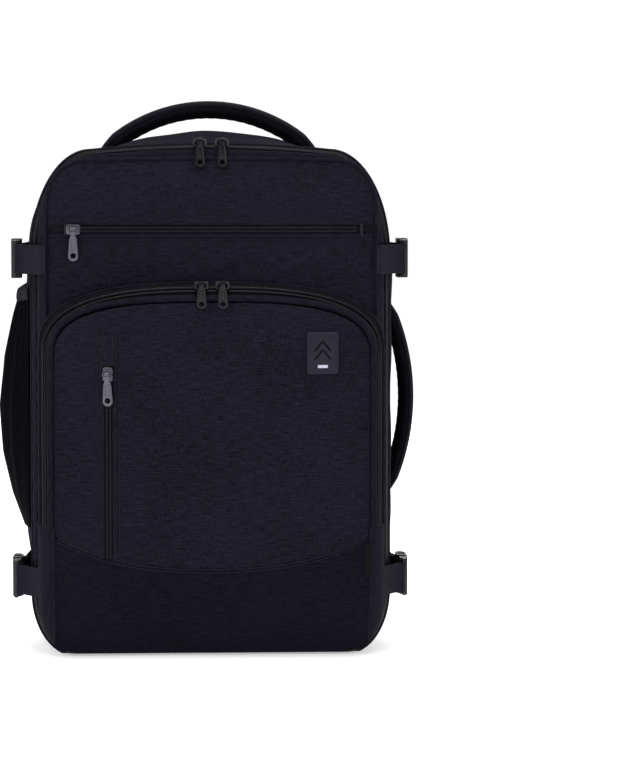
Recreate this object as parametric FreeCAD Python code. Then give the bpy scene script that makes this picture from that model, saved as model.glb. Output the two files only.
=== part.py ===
"""Travel backpack, cabin size: a stuffed cloth body with a front half that opens like a door, a laptop compartment
that opens at the back, a zipped front pocket whose flap folds down, side-release buckles on compression straps,
two carry handles, a mesh bottle pocket and two padded shoulder straps.

Frame: millimetres, +Z up, the wearer's back towards +Y and the front of the bag towards -Y.
The origin is the centre of the flat base that the bag stands on.
"""

import FreeCAD
import Part
import math
import os

V = FreeCAD.Vector
X_AXIS, Y_AXIS, Z_AXIS = V(1, 0, 0), V(0, 1, 0), V(0, 0, 1)
OUT = "parts"
os.makedirs(OUT, exist_ok=True)

# Driving dimensions of the body
SEAM_HALF = 152.0  # half the width at the zip seams
CROWN_HALF = 160.0  # half the width between the seams, where the sides bulge
EDGE_TOP = 437.0  # height of the top at the seams
TOP_RISE = 13.0  # how far the top bulges above its edges
FRONT_SEAM = -92.0  # depth of the main zip, where the front half opens
REAR_SEAM = 64.0  # depth of the laptop compartment's zip
BACK = 94.0  # depth of the back panel's outer face
MIDDLE = (FRONT_SEAM + REAR_SEAM) / 2 + 1  # depth where the body is widest
WALL = 3.0  # fabric, foam and lining together
GAP = 0.1  # between panels sewn edge to edge
TAPE = 3.8  # width of each half of the main zip's tape
CLEAR = 0.3  # between things that slide or turn past each other

# The front half and its pocket
FACE = -122.0  # depth of the flat face above the pocket
POCKET_FOLD = 114.0  # height where the pocket's flap folds down
FLAP_START = -141.0  # depth where the flap leaves the pocket's zip
ARCH_FLAT = 100.0  # half the length of the pocket's arched top edge
ARCH_RISE = 12.0  # rise of that edge
FLAP_PROFILE = (339.0, 183.0, 500.0)  # y, z and radius of the flap's side profile
TOE_PROFILE = (1.3, 118.0, 157.0)  # y, z and radius of the round lower front
FLAP_PLAN = (-161.0, 530.0)  # foremost depth and radius of the flap seen from above

# Webbing and its buckles
WEB = 25.0
WEB_THICK = 1.4
STRAP_HEIGHTS = (64.0, 340.0)
BUCKLE_X = 167.2  # middle of the buckles, out from the bag's centre
BUCKLE_MOUTH = -61.0  # depth of the female half's mouth
BUCKLE_TRAVEL = 45.0


def save(name, shape):
    """Writes one sub-part, after checking that every solid in it is closed and sound."""
    solids = shape.Solids
    assert solids, name
    for solid in solids:
        assert solid.isValid() and solid.Volume > 0, name
    out = solids[0] if len(solids) == 1 else Part.makeCompound(solids)
    out.exportStep(os.path.join(OUT, name + ".step"))


def box(x, y, z):
    """Box between the low and high value on each axis."""
    return Part.makeBox(x[1] - x[0], y[1] - y[0], z[1] - z[0], V(x[0], y[0], z[0]))


def group(shapes):
    return Part.makeCompound([solid for shape in shapes for solid in shape.Solids])


def both_sides(shape):
    """The shape and its mirror image on the other side of the bag."""
    return group([shape, shape.mirror(V(0, 0, 0), X_AXIS)])


def mirrored(shape):
    return shape.mirror(V(0, 0, 0), X_AXIS)


def polygon(points):
    return Part.Face(Part.makePolygon([*points, points[0]]))


# ---------------------------------------------------------------- outlines


def outline(half, low, high, r_low, r_high, y, rise=1.0):
    """Closed wire at depth y: upright sides, round corners, and a top edge that rises a little in the middle."""
    k = math.sqrt(0.5)

    def p(x, z):
        return V(x, y, z)

    def corner(cx, cz, r, sx, sz, first):
        ends = [p(cx + sx * r, cz), p(cx, cz + sz * r)]
        middle = p(cx + sx * k * r, cz + sz * k * r)
        a, b = ends if first == "side" else ends[::-1]
        return Part.Arc(a, middle, b)

    flat, arch = half - r_low, half - r_high
    edges = [
        Part.LineSegment(p(-flat, low), p(flat, low)),
        corner(flat, low + r_low, r_low, 1, -1, "end"),
        Part.LineSegment(p(half, low + r_low), p(half, high - r_high)),
        corner(arch, high - r_high, r_high, 1, 1, "side"),
        Part.Arc(p(arch, high), p(0, high + rise), p(-arch, high)),
        corner(-arch, high - r_high, r_high, -1, 1, "end"),
        Part.LineSegment(p(-half, high - r_high), p(-half, low + r_low)),
        corner(-flat, low + r_low, r_low, -1, -1, "side"),
    ]
    return Part.Wire([e.toShape() for e in edges])


def slab(wire, depth):
    """Solid from a wire at one depth, extruded along Y."""
    return Part.Face(wire).extrude(V(0, depth, 0))


def ring(outer, inner, depth):
    return slab(outer, depth).cut(slab(inner, depth))


def loft(wires):
    return Part.makeLoft(wires, True, False)


# ---------------------------------------------------------------- body


def body_block(grow):
    """The stuffed main body as a solid, grown by grow all round. It runs below the floor, where a flat cut ends it."""
    front, rear = FRONT_SEAM + 4, REAR_SEAM - 2
    sections = [
        outline(SEAM_HALF + grow, -4 - grow, EDGE_TOP + grow, 30, 38, front),
        outline(CROWN_HALF + grow, -4 - grow, EDGE_TOP + grow, 34, 44, MIDDLE, TOP_RISE),
        outline(SEAM_HALF + grow, -4 - grow, EDGE_TOP + grow, 30, 38, rear),
    ]
    return loft(sections)


def body_hollow():
    front, rear = FRONT_SEAM + 4, REAR_SEAM - 2
    low, top = WALL, EDGE_TOP - WALL
    sections = [
        outline(SEAM_HALF - WALL, low, top, 23, 35, front),
        outline(CROWN_HALF - WALL, low, top, 27, 41, MIDDLE, TOP_RISE),
        outline(SEAM_HALF - WALL, low, top, 23, 35, rear),
    ]
    return loft(sections)


def make_body():
    shell = body_block(0).cut(body_hollow())
    above_floor = box((-200, 200), (-200, 200), (0, 600))
    shell = shell.common(above_floor)
    low, high = 32.0, 392.0
    deep = (-200, 200)
    save("base_panel", shell.common(box(deep, deep, (0, low))))
    save("gusset_top", shell.common(box(deep, deep, (high, 600))))
    between = (low + GAP, high - GAP)
    save("gusset_left", shell.common(box((-200, 0), deep, between)))
    save("gusset_right", shell.common(box((0, 200), deep, between)))
    rim = outline(SEAM_HALF - WALL, WALL, EDGE_TOP - WALL, 25, 35, REAR_SEAM - 2 + GAP)
    save("divider_panel", slab(rim, TAPE - GAP - CLEAR / 2))


def zip_ring(y, depth):
    """One half of a zip's tape, running round the bag's edge."""
    outer = outline(SEAM_HALF, 1, EDGE_TOP, 28, 38, y)
    inner = outline(SEAM_HALF - 5, 6, EDGE_TOP - 5, 23, 33, y)
    return ring(outer, inner, depth)


def make_body_zips():
    save("main_zip_rear_tape", zip_ring(FRONT_SEAM + CLEAR / 2, TAPE - CLEAR / 2))
    outer = outline(SEAM_HALF, 1, EDGE_TOP, 28, 38, REAR_SEAM - 2 + GAP)
    inner = outline(SEAM_HALF - WALL + GAP, WALL - GAP, EDGE_TOP - WALL + GAP, 25, 35, REAR_SEAM - 2 + GAP)
    save("laptop_zip", ring(outer, inner, TAPE - GAP - CLEAR / 2))


def make_packing_straps():
    """Two crossed webbing straps that hold the load, lying on the divider, with a joiner plate where they cross."""
    y = REAR_SEAM - 4
    arms = None
    for slope in (-1, 1):
        strap = box((-150, 150), (y, y + WEB_THICK), (-WEB / 2, WEB / 2))
        strap.rotate(V(0, 0, 0), Y_AXIS, slope * 42)
        strap.translate(V(0, 0, 205))
        arms = strap if arms is None else arms.fuse(strap)
    arms = arms.fuse(box((-18, 18), (y - 3, y + WEB_THICK), (189, 221)))
    inside = box((-136, 136), (0, 100), (40, 400))
    save("packing_straps", arms.common(inside))


def handle_band(centre, radius, thick, width):
    """A padded handle bent to an arc in the XZ plane, its width along Y."""
    cx, y, cz = centre
    low = V(cx, y - width / 2, cz)
    outer = Part.makeCylinder(radius, width, low, Y_AXIS)
    return outer.cut(Part.makeCylinder(radius - thick, width, low, Y_AXIS))


def make_handles():
    skin = body_block(0.2)
    top = handle_band((0, MIDDLE + 5, 318), 155, 13, 40).common(box((-96, 96), (-60, 60), (430, 500)))
    save("top_handle", top.cut(skin))
    side = handle_band((-18.5, MIDDLE, 217), 199.5, 13, 40).common(box((150, 200), (-60, 60), (115, 319)))
    save("side_handle", side.cut(skin))


def make_mesh_pocket():
    """Bottle pocket on the left side: a thin bulging sheet, open at the top under its elastic hem."""
    y_front, y_rear, x_end = -76.0, 54.0, -155.6

    def crescent(z, bulge, thick, skin=0.0):
        x_mid = -CROWN_HALF - bulge - skin
        y_mid = (y_front + y_rear) / 2
        a, b = V(x_end - skin, y_front, z), V(x_end - skin, y_rear, z)
        c, d = V(x_end + thick - 1.4, y_rear, z), V(x_end + thick - 1.4, y_front, z)
        edges = [
            Part.Arc(a, V(x_mid, y_mid, z), b),
            Part.LineSegment(b, c),
            Part.Arc(c, V(x_mid + thick, y_mid, z), d),
            Part.LineSegment(d, a),
        ]
        return Part.Wire([e.toShape() for e in edges])

    stations = [(108, 2.6), (135, 12), (170, 18.5), (211, 20), (255, 18), (290, 14), (303, 12.5)]
    save("mesh_pocket", loft([crescent(z, bulge, 1.6) for z, bulge in stations]))
    hem = [(303 + GAP, 12.5), (309, 12), (315, 11.5)]
    save("mesh_pocket_hem", loft([crescent(z, bulge, 2.4, 0.6) for z, bulge in hem]))


# ---------------------------------------------------------------- laptop compartment


def make_laptop_door():
    y0, y1 = REAR_SEAM + 2, BACK - 6
    outer = [
        outline(SEAM_HALF - 0.5, 2, EDGE_TOP, 28, 38, y0),
        outline(SEAM_HALF - 4, 2, EDGE_TOP - 4, 26, 36, y1),
    ]
    inner = [
        outline(SEAM_HALF - 3.5, 5, EDGE_TOP - WALL, 25, 35, y0),
        outline(SEAM_HALF - 7, 5, EDGE_TOP - 7, 23, 33, y1),
    ]
    save("rear_gusset", loft(outer).cut(loft(inner)))
    panel = loft(
        [
            outline(SEAM_HALF - 4, 2, EDGE_TOP - 4, 26, 36, y1 + GAP),
            outline(SEAM_HALF - 9, 5, EDGE_TOP - 9, 24, 34, BACK),
        ]
    )
    foam = box((-128, 128), (y1 + 1.5, BACK - 1.5), (30, 405))
    save("back_panel", panel.cut(foam))
    save("back_foam", box((-127.8, 127.8), (y1 + 1.7, BACK - 1.7), (30.2, 404.8)))


def make_shoulder_straps():
    """Padded straps: a curved band seen from the side, cut to a curved outline seen from behind."""
    outer = [(95.2, 431), (117, 402), (141, 340), (150, 287), (160, 200), (157, 133), (147, 66)]
    inner = [(95.2, 419), (104, 392), (124, 335), (134, 285), (144, 200), (142, 133), (136, 68)]
    right_edge = [(26, 440), (29, 400), (36, 330), (50, 250), (66, 160), (80, 100), (88, 60)]
    left_edge = [(74, 440), (86, 400), (99, 330), (115, 250), (125, 160), (122, 100), (119, 60)]

    def face(first, second, point):
        sides = []
        for points in (first, second[::-1]):
            curve = Part.BSplineCurve()
            curve.interpolate([point(*p) for p in points])
            sides.append(curve.toShape())
        ends = [
            Part.LineSegment(point(*first[-1]), point(*second[-1])).toShape(),
            Part.LineSegment(point(*second[0]), point(*first[0])).toShape(),
        ]
        return Part.Face(Part.Wire([sides[0], ends[0], sides[1], ends[1]]))

    band = face(outer, inner, lambda y, z: V(0, y, z)).extrude(V(150, 0, 0))
    plan = face(right_edge, left_edge, lambda x, z: V(x, 0, z)).extrude(V(0, 200, 0))
    pad = band.common(plan)
    save("shoulder_pad_right", pad)
    save("shoulder_pad_left", mirrored(pad))

    # Ladder-lock adjuster at the pad's lower end, three bars between two rails.
    y, x_mid, low, high = (139.0, 143.0), 103.5, 34.0, 65.5
    lock = box((x_mid - 18, x_mid + 18), y, (low, high))
    for z in ((38, 44), (48, 52), (56, 61)):
        lock = lock.cut(box((x_mid - 13.5, x_mid + 13.5), (130, 150), z))
    save("shoulder_adjuster_right", lock)
    save("shoulder_adjuster_left", mirrored(lock))

    # Webbing from the bag's lower corner to just short of the adjuster.
    path = [(130.0, BACK + 0.3), (133.0, BACK + 2.0), (106.0, 137.6), (103.4, 136.0)]
    band = polygon([V(x, yy, 39.5) for x, yy in path]).extrude(V(0, 0, WEB))
    save("shoulder_webbing_right", band)
    save("shoulder_webbing_left", mirrored(band))


# ---------------------------------------------------------------- front half


def lid_block(grow=0.0):
    """The front half's shallow box with its rounded top shoulder."""
    sections = [
        outline(SEAM_HALF - 0.5 + grow, 2 - grow, EDGE_TOP + grow - 0.5, 27, 38, FRONT_SEAM - 4),
        outline(SEAM_HALF - 4 + grow, 5 - grow, EDGE_TOP - 9 + grow, 27, 38, FRONT_SEAM - 12),
        outline(SEAM_HALF - 11 + grow, 24 - grow, EDGE_TOP - 53 + grow, 27, 38, FACE - grow),
    ]
    return loft(sections)


def make_lid():
    hollow = loft(
        [
            outline(SEAM_HALF - 3.5, 5, EDGE_TOP - 3.5, 24, 35, FRONT_SEAM - 4),
            outline(SEAM_HALF - 7, 8, EDGE_TOP - 12, 24, 35, FRONT_SEAM - 12),
            outline(SEAM_HALF - 14, 26, EDGE_TOP - 60, 24, 35, FACE + WALL),
        ]
    )
    shell = lid_block().cut(hollow)
    everywhere, split = (-300, 500), FRONT_SEAM - 12
    save("lid_gusset", shell.common(box(everywhere, (split, 0), everywhere)))
    save("lid_front_panel", shell.common(box(everywhere, (-300, split - GAP), everywhere)))
    save("lid_lining_panel", slab(outline(146.5, 8, EDGE_TOP - 7, 22, 33, -99), 2.9))
    save("main_zip_front_tape", zip_ring(FRONT_SEAM - TAPE - GAP, TAPE - CLEAR / 2))
    save("top_pocket_zip", box((-125, 124), (FACE - 1.3, FACE - GAP), (362, 370)))
    save("inner_mesh_panel", box((-138, 138), (-96, -94.8), (32, 236)))
    zips = [box((-138, 138), (-96, -94.8), (240, 250)), box((-112, 122), (-96, -94.8), (344, 352))]
    save("inner_zips", group(zips))


def arch(half, top, y):
    """Pocket outline: the arched top edge is the same length and curve at every depth."""
    return outline(half, 2, top - ARCH_RISE, 25, half - ARCH_FLAT, y, ARCH_RISE)


def pocket_side(grow):
    """Solid under the pocket's gusset and zip, from the front half's edge out to the flap."""
    sections = [(-110, 148.5, 323), (-122, 147.5, 322), (-128, 145.5, 320.5), (-134.5, 141.5, 315.5)]
    sections.append((FLAP_START, 135, 305))
    return loft([arch(half + grow, top + grow, y) for y, half, top in sections])


def profile_block(grow):
    """Everything behind the pocket's side profile: a long shallow arc above a tighter one at the toe."""
    y1, z1, r1 = FLAP_PROFILE
    y2, z2, r2 = TOE_PROFILE
    r1, r2 = r1 + grow, r2 + grow
    join, high, low = 110.0, 345.0, 1.5

    def upper(z):
        return V(-200, y1 - math.sqrt(r1 * r1 - (z - z1) ** 2), z)

    def lower(z):
        return V(-200, y2 - math.sqrt(r2 * r2 - (z - z2) ** 2), z)

    corner = upper(join)
    edges = [
        Part.LineSegment(V(-200, -80, high), upper(high)),
        Part.Arc(upper(high), upper(220), corner),
        Part.Arc(corner, lower(55), lower(low)),
        Part.LineSegment(lower(low), V(-200, -80, low)),
        Part.LineSegment(V(-200, -80, low), V(-200, -80, high)),
    ]
    wire = Part.Wire([e.toShape() for e in edges])
    return Part.Face(wire).extrude(V(400, 0, 0))


def pocket_block(grow):
    """The front pocket as a solid: its sides, then a face domed both ways."""
    front, radius = FLAP_PLAN
    face = slab(arch(135 + grow, 305 + grow, FLAP_START), -40)
    centre = V(0, front + radius, -10)
    dome = Part.makeCylinder(radius + grow, 400, centre, Z_AXIS)
    whole = pocket_side(grow).fuse(face.common(dome))
    return whole.common(profile_block(grow))


def make_front_pocket():
    inner = pocket_block(-WALL)
    open_back = slab(arch(145.5 - WALL, 319.5, -109), -13.5)
    shell = pocket_block(0).cut(inner).cut(open_back).cut(lid_block(0.15))
    wide, fold, zip_start = (-300, 500), POCKET_FOLD, -128.0
    above = (fold + 0.2, 500)
    save("pocket_gusset", shell.common(box(wide, (zip_start + GAP, 0), above)))
    save("pocket_zip", shell.common(box(wide, (FLAP_START + GAP, zip_start), above)))
    save("pocket_flap", shell.common(box(wide, (-300, FLAP_START - CLEAR), above)))
    save("lower_front_panel", shell.common(box(wide, wide, (0, fold - 0.2))))


def on_flap(x):
    """Depth of the flap's face at x, and how far it has turned from facing straight ahead, in degrees."""
    front, radius = FLAP_PLAN
    return front + radius - math.sqrt(radius**2 - x**2), math.degrees(math.asin(x / radius))


def plate_on_flap(x, z, width, height, thick):
    y, turn = on_flap(x)
    plate = box((-width / 2, width / 2), (-thick - GAP, -GAP), (-height / 2, height / 2))
    plate.rotate(V(0, 0, 0), Z_AXIS, turn)
    plate.translate(V(x, y, z))
    return plate


def make_flap_trim():
    save("vertical_zip", plate_on_flap(-87.5, 184, 8, 132, 1.2))
    patch = plate_on_flap(93, 262, 28, 36, 1.8)
    upright = [e for e in patch.Edges if abs(e.Length - 1.8) < 0.01]
    save("rubber_patch", patch.makeFillet(3, upright))


# ---------------------------------------------------------------- webbing and buckles


def make_straps():
    """Long straps along the sides, and the short ones that join the front half to the buckles."""

    def side_band(y_rear):
        near = [V(SEAM_HALF + 2.2, y_rear, 0), V(CROWN_HALF + 0.5, MIDDLE, 0), V(158.7, -46.5, 0)]
        far = [p + V(WEB_THICK, 0, 0) for p in near]
        edges = [
            Part.Arc(*near).toShape(),
            Part.LineSegment(near[-1], far[-1]).toShape(),
            Part.Arc(*far[::-1]).toShape(),
            Part.LineSegment(far[0], near[0]).toShape(),
        ]
        return Part.Face(Part.Wire(edges)).extrude(V(0, 0, WEB))

    def at_heights(band):
        return group([band.translated(V(0, 0, z - WEB / 2)) for z in STRAP_HEIGHTS])

    save("compression_straps_right", at_heights(side_band(62.0)))
    left = polygon([V(151.4, 90, 0), V(153.0, 90, 0), V(156.0, 62.4, 0), V(154.4, 62.4, 0)])
    left = left.extrude(V(0, 0, WEB)).fuse(side_band(62.4)).removeSplitter()
    save("compression_straps_left", mirrored(at_heights(left)))

    bar = V(BUCKLE_X - 2.8, BUCKLE_MOUTH - 18.5, 0)
    bend = V(BUCKLE_X - 3.2, BUCKLE_MOUTH - 23, 0)
    short = [bar, bend, V(158.5, -91.5, 0), V(152.9, -100.5, 0), V(149.1, -109.3, 0)]
    band = polygon([p + V(WEB_THICK, 0, 0) for p in short] + short[::-1]).extrude(V(0, 0, WEB))
    stub = [V(152.4, -96.5, 0), *short[3:]]
    stub = polygon([p + V(WEB_THICK, 0, 0) for p in stub] + stub[::-1]).extrude(V(0, 0, WEB))
    save("lid_short_straps", group([at_heights(band), mirrored(at_heights(stub))]))
    hinge = [bar, V(BUCKLE_X - 3.2, BUCKLE_MOUTH - 23.5, 0)]
    band = polygon([p + V(WEB_THICK, 0, 0) for p in hinge] + hinge[::-1]).extrude(V(0, 0, WEB))
    save("hinge_side_short_straps", mirrored(at_heights(band)))


def buckle_female(z):
    """Housing with an open mouth, side windows for the prongs, and a ladder lock behind it."""
    y0, x0, x1, half = BUCKLE_MOUTH, BUCKLE_X - 4.4, BUCKLE_X + 4.4, 17.0
    body = box((x0, x1), (y0, y0 + 25), (-half, half))
    body = body.cut(box((x0 + 1.5, x1 - 1.5), (y0 - 1, y0 + 22.5), (-14.4, 14.4)))
    body = body.cut(box((x0 + 1.5, x1 - 1.5), (y0 + 7, y0 + 19), (-30, 30)))
    lock = box((x0 + 2.4, x1 - 0.8), (y0 + 25, y0 + 40), (-half + 1, half - 1))
    for y in ((y0 + 27, y0 + 31), (y0 + 33.5, y0 + 37.5)):
        lock = lock.cut(box((x0, x1), y, (-13, 13)))
    return body.fuse(lock).removeSplitter().translated(V(0, 0, z))


def buckle_male(z):
    """Base with a webbing slot, two sprung side prongs and a middle tongue."""
    y0, half = BUCKLE_MOUTH, 16.0
    base = box((BUCKLE_X - 3, BUCKLE_X + 3.6), (y0 - 14, y0 - 0.6), (-half, half))
    base = base.cut(box((BUCKLE_X - 10, BUCKLE_X + 10), (y0 - 11, y0 - 6.5), (-13, 13)))
    bar = box((BUCKLE_X - 1, BUCKLE_X + 2.2), (y0 - 22, y0 - 19.5), (-half, half))
    rails = [box((BUCKLE_X - 1, BUCKLE_X + 2.2), (y0 - 22, y0 - 13), s) for s in ((-half, -13), (13, half))]
    prong = [(9.5, -1), (7.5, 8), (9.0, 19.5), (12.0, 20.5), (14.0, 17.5), (14.0, 9.0), (11.6, 8.4), (13.0, -1)]
    low = BUCKLE_X - 2
    shape = base.fuse(bar).fuse(rails[0]).fuse(rails[1])
    for side in (-1, 1):
        points = [V(low, y0 + y, side * w) for w, y in prong]
        shape = shape.fuse(polygon(points).extrude(V(4, 0, 0)))
    shape = shape.fuse(box((low + 0.5, low + 3.5), (y0 - 1, y0 + 18), (-2.2, 2.2)))
    return shape.removeSplitter().translated(V(0, 0, z))


def make_buckles():
    for level, z in zip(("lower", "upper"), STRAP_HEIGHTS):
        save("buckle_female_" + level + "_right", buckle_female(z))
        save("buckle_female_" + level + "_left", mirrored(buckle_female(z)))
    males = group([buckle_male(z) for z in STRAP_HEIGHTS])
    save("lid_buckle_males", males)
    save("hinge_side_buckle_males", mirrored(males))


# ---------------------------------------------------------------- zip sliders and pulls

BAR_R = 0.9  # the bar that a pull hangs on
PLATE_BACK = 3.8  # from the bar back to the underside of the slider's plate
PULL_LENGTH = 27.0
PULL_LEAN = 6.0  # degrees that a hanging pull leans in towards the cloth


def slider_at_origin(along):
    """Slider facing -Y with its bar on the X axis; along says which way the zip runs, x or z."""
    px, pz = (12.0, 8.6) if along == "x" else (8.6, 12.0)
    plate = box((-px / 2, px / 2), (2.3, PLATE_BACK), (-pz / 2, pz / 2))
    corners = [e for e in plate.Edges if abs(e.Length - (PLATE_BACK - 2.3)) < 0.01]
    plate = plate.makeFillet(2.2, corners)
    bar = Part.makeCylinder(BAR_R, 7.4, V(-3.7, 0, 0), X_AXIS)
    for side in (-1, 1):
        x = sorted((side * 2.8, side * 4.1))
        plate = plate.fuse(box(x, (-1.2, 2.6), (-1.5, 1.5)))
    return plate.fuse(bar).removeSplitter()


def pull_at_origin():
    """Pull tab hanging from the bar, with an eye at the top and a finger hole at the bottom."""
    neck, waist, hip, end = 2.2, 3.3, 4.3, PULL_LENGTH - 4.3
    outline_points = [(-neck, 0), (-neck, -5), (-waist, -8), (-hip, -end)]
    left = [V(x, -0.9, z) for x, z in outline_points]
    right = [V(-x, -0.9, z) for x, z in outline_points[::-1]]
    edges = [Part.LineSegment(a, b) for a, b in zip(left, left[1:])]
    edges.append(Part.Arc(left[-1], V(0, -0.9, -PULL_LENGTH), right[0]))
    edges += [Part.LineSegment(a, b) for a, b in zip(right, right[1:])]
    edges.append(Part.LineSegment(right[-1], left[0]))
    blade = Part.Face(Part.Wire([e.toShape() for e in edges])).extrude(V(0, 1.8, 0))
    blade = blade.cut(Part.makeCylinder(2.3, 10, V(0, -5, -end + 0.6), Y_AXIS))
    blade = blade.cut(box((-1.5, 1.5), (-2, -0.4), (-17.5, -8.5)))
    eye = Part.makeCylinder(2.0, 2 * neck, V(-neck, 0, 0), X_AXIS)
    hole = Part.makeCylinder(BAR_R + CLEAR, 10, V(-5, 0, 0), X_AXIS)
    pull = blade.fuse(eye).cut(hole).removeSplitter()
    pull.rotate(V(0, 0, 0), X_AXIS, PULL_LEAN)
    return pull


def placed(shape, bar, tilt=0.0, turn=0.0, spin=0.0):
    """Spins about the way it faces, tilts up about X, turns about Z, then moves its bar's middle to bar."""
    out = shape.copy()
    out.rotate(V(0, 0, 0), Y_AXIS, spin)
    out.rotate(V(0, 0, 0), X_AXIS, -tilt)
    out.rotate(V(0, 0, 0), Z_AXIS, turn)
    return out.translated(V(*bar))


def zip_runner(name, along, bar, tilt=0.0, turn=0.0, spin=0.0, lean=0.0):
    """A slider and its pull, as two sub-parts that share the bar's axis. lean turns the pull further in."""
    save(name + "_slider", placed(slider_at_origin(along), bar, tilt, turn, spin))
    pull = pull_at_origin()
    pull.rotate(V(0, 0, 0), X_AXIS, lean)
    save(name + "_pull", placed(pull, bar, tilt, turn, spin))


def make_zip_runners():
    stand_off = PLATE_BACK + CLEAR + 1.2  # bar to cloth, over the zip's teeth
    zip_runner("top_pocket", "x", (-117, FACE - GAP - stand_off, 366))
    for side, word in ((-1, "left"), (1, "right")):
        zip_runner("main_" + word, "x", (side * 9.5, -99.6, 441.5), tilt=45, lean=10)
        zip_runner("pocket_" + word, "x", (side * 9.0, -138.6, 320.6), tilt=40, lean=-3)
    x = -87.5
    y, turn = on_flap(x)
    off = stand_off + GAP
    a = math.radians(turn)
    zip_runner("vertical", "z", (x + off * math.sin(a), y - off * math.cos(a), 245), turn=turn)
    laptop = slider_at_origin("z")
    bar = (0, REAR_SEAM, EDGE_TOP + 1.8 + PLATE_BACK + CLEAR)
    save("laptop_slider", placed(laptop, bar, tilt=90, turn=90))
    save("laptop_pull", placed(pull_at_origin(), bar, tilt=90, turn=90))
    for name, z, x in (("inner_mesh", 245, 126), ("inner_pocket", 348, 110)):
        bar = (x, -94.8 + PLATE_BACK + CLEAR, z)
        pair = [placed(s, bar, turn=180) for s in (slider_at_origin("x"), pull_at_origin())]
        save(name + "_slider", group(pair))


make_body()
make_body_zips()
make_packing_straps()
make_handles()
make_mesh_pocket()
make_laptop_door()
make_shoulder_straps()
make_lid()
make_front_pocket()
make_flap_trim()
make_straps()
make_buckles()
make_zip_runners()
print("sub-parts written:", len(os.listdir(OUT)))
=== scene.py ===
"""Travel backpack in navy-black cloth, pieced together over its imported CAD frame.

Metres, +Z up, the wearer's back towards +Y. Each section makes one piece or group of like pieces.
"""

import math

import bmesh
import bpy
import numpy as np
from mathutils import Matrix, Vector


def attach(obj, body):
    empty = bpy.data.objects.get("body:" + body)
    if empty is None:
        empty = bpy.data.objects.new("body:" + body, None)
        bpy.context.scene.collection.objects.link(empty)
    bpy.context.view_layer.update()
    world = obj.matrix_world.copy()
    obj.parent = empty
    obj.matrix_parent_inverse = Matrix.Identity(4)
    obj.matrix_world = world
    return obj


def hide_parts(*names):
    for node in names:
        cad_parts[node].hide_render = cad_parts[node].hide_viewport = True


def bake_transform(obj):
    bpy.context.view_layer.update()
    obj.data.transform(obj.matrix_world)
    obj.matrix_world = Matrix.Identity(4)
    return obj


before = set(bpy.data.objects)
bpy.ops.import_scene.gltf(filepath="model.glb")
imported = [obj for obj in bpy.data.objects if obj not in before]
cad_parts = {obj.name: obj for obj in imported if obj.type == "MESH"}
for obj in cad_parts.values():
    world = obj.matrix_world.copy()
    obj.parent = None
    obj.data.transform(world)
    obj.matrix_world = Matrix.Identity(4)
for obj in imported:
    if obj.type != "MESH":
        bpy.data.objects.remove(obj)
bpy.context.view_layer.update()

# ---------------------------------------------------------------- camera, floor and light
# A long lens in front of the bag, a hand's breadth to its left and a little above its middle.
# The floor is a white sweep of paper, lit by soft boxes at the left, at the right, above and behind.

scene = bpy.context.scene
scene.view_settings.view_transform = "Standard"
LOOK_AT = Vector((0.0934, -0.100, 0.2312))
CAMERA_AWAY, CAMERA_LEFT, CAMERA_UP = 3.0, math.radians(3.0), math.radians(3.6)
camera = bpy.data.objects.new("camera", bpy.data.cameras.new("camera"))
scene.collection.objects.link(camera)
camera.location = LOOK_AT + CAMERA_AWAY * Vector(
    (-math.sin(CAMERA_LEFT) * math.cos(CAMERA_UP), -math.cos(CAMERA_LEFT) * math.cos(CAMERA_UP), math.sin(CAMERA_UP))
)
camera.rotation_euler = (LOOK_AT - camera.location).to_track_quat("-Z", "Y").to_euler()
camera.data.lens = 163.0
camera.data.sensor_width = 36.0
camera.data.clip_end = 50.0
scene.camera = camera


def lamp(name, place, aim, size, watts):
    """An oblong soft box at a place, turned towards a point."""
    light = bpy.data.lights.new(name, "AREA")
    light.shape, light.size, light.size_y, light.energy = "RECTANGLE", size[0], size[1], watts
    box = bpy.data.objects.new(name, light)
    scene.collection.objects.link(box)
    box.location = place
    box.rotation_euler = (Vector(aim) - Vector(place)).to_track_quat("-Z", "Y").to_euler()


lamp("soft_box_left", (-2.2, -2.4, 1.9), (0, 0, 0.25), (1.6, 1.8), 46)
lamp("soft_box_right", (2.6, -1.6, 1.5), (0, 0, 0.2), (1.4, 1.8), 20)
lamp("soft_box_above", (0.0, -0.2, 2.6), (0, 0, 0), (2.6, 2.4), 60)
lamp("soft_box_behind", (0.4, 2.6, 1.8), (0, 0, 0.3), (1.8, 1.4), 22)

world = bpy.data.worlds.new("studio")
world.use_nodes = True
sky = world.node_tree
sky.nodes["Background"].inputs["Color"].default_value = (1, 1, 1, 1)
glow = sky.nodes.new("ShaderNodeMath")
glow.operation, glow.inputs[1].default_value, glow.inputs[2].default_value = "MULTIPLY_ADD", 0.45, 0.60
sky.links.new(sky.nodes.new("ShaderNodeLightPath").outputs["Is Camera Ray"], glow.inputs[0])
sky.links.new(glow.outputs[0], sky.nodes["Background"].inputs["Strength"])
scene.world = world

paper = bpy.data.materials.new("white_paper")
paper.use_nodes = True
paper.node_tree.nodes["Principled BSDF"].inputs["Base Color"].default_value = (0.95, 0.95, 0.955, 1)
paper.node_tree.nodes["Principled BSDF"].inputs["Emission Color"].default_value = (1, 1, 1, 1)
paper.node_tree.nodes["Principled BSDF"].inputs["Emission Strength"].default_value = 0.44
paper.node_tree.nodes["Principled BSDF"].inputs["Roughness"].default_value = 0.9
bpy.ops.mesh.primitive_plane_add(size=60, location=(0, 0, 0))
floor = bpy.context.object
floor.name = "floor"
floor.data.materials.append(paper)

# ---------------------------------------------------------------- navy cloth
# The shell is a tight polyester weave in navy-black with a faint cross-grain streak, backed with foam.
# Its pattern follows each panel's own UV map, which is in metres.


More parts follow.
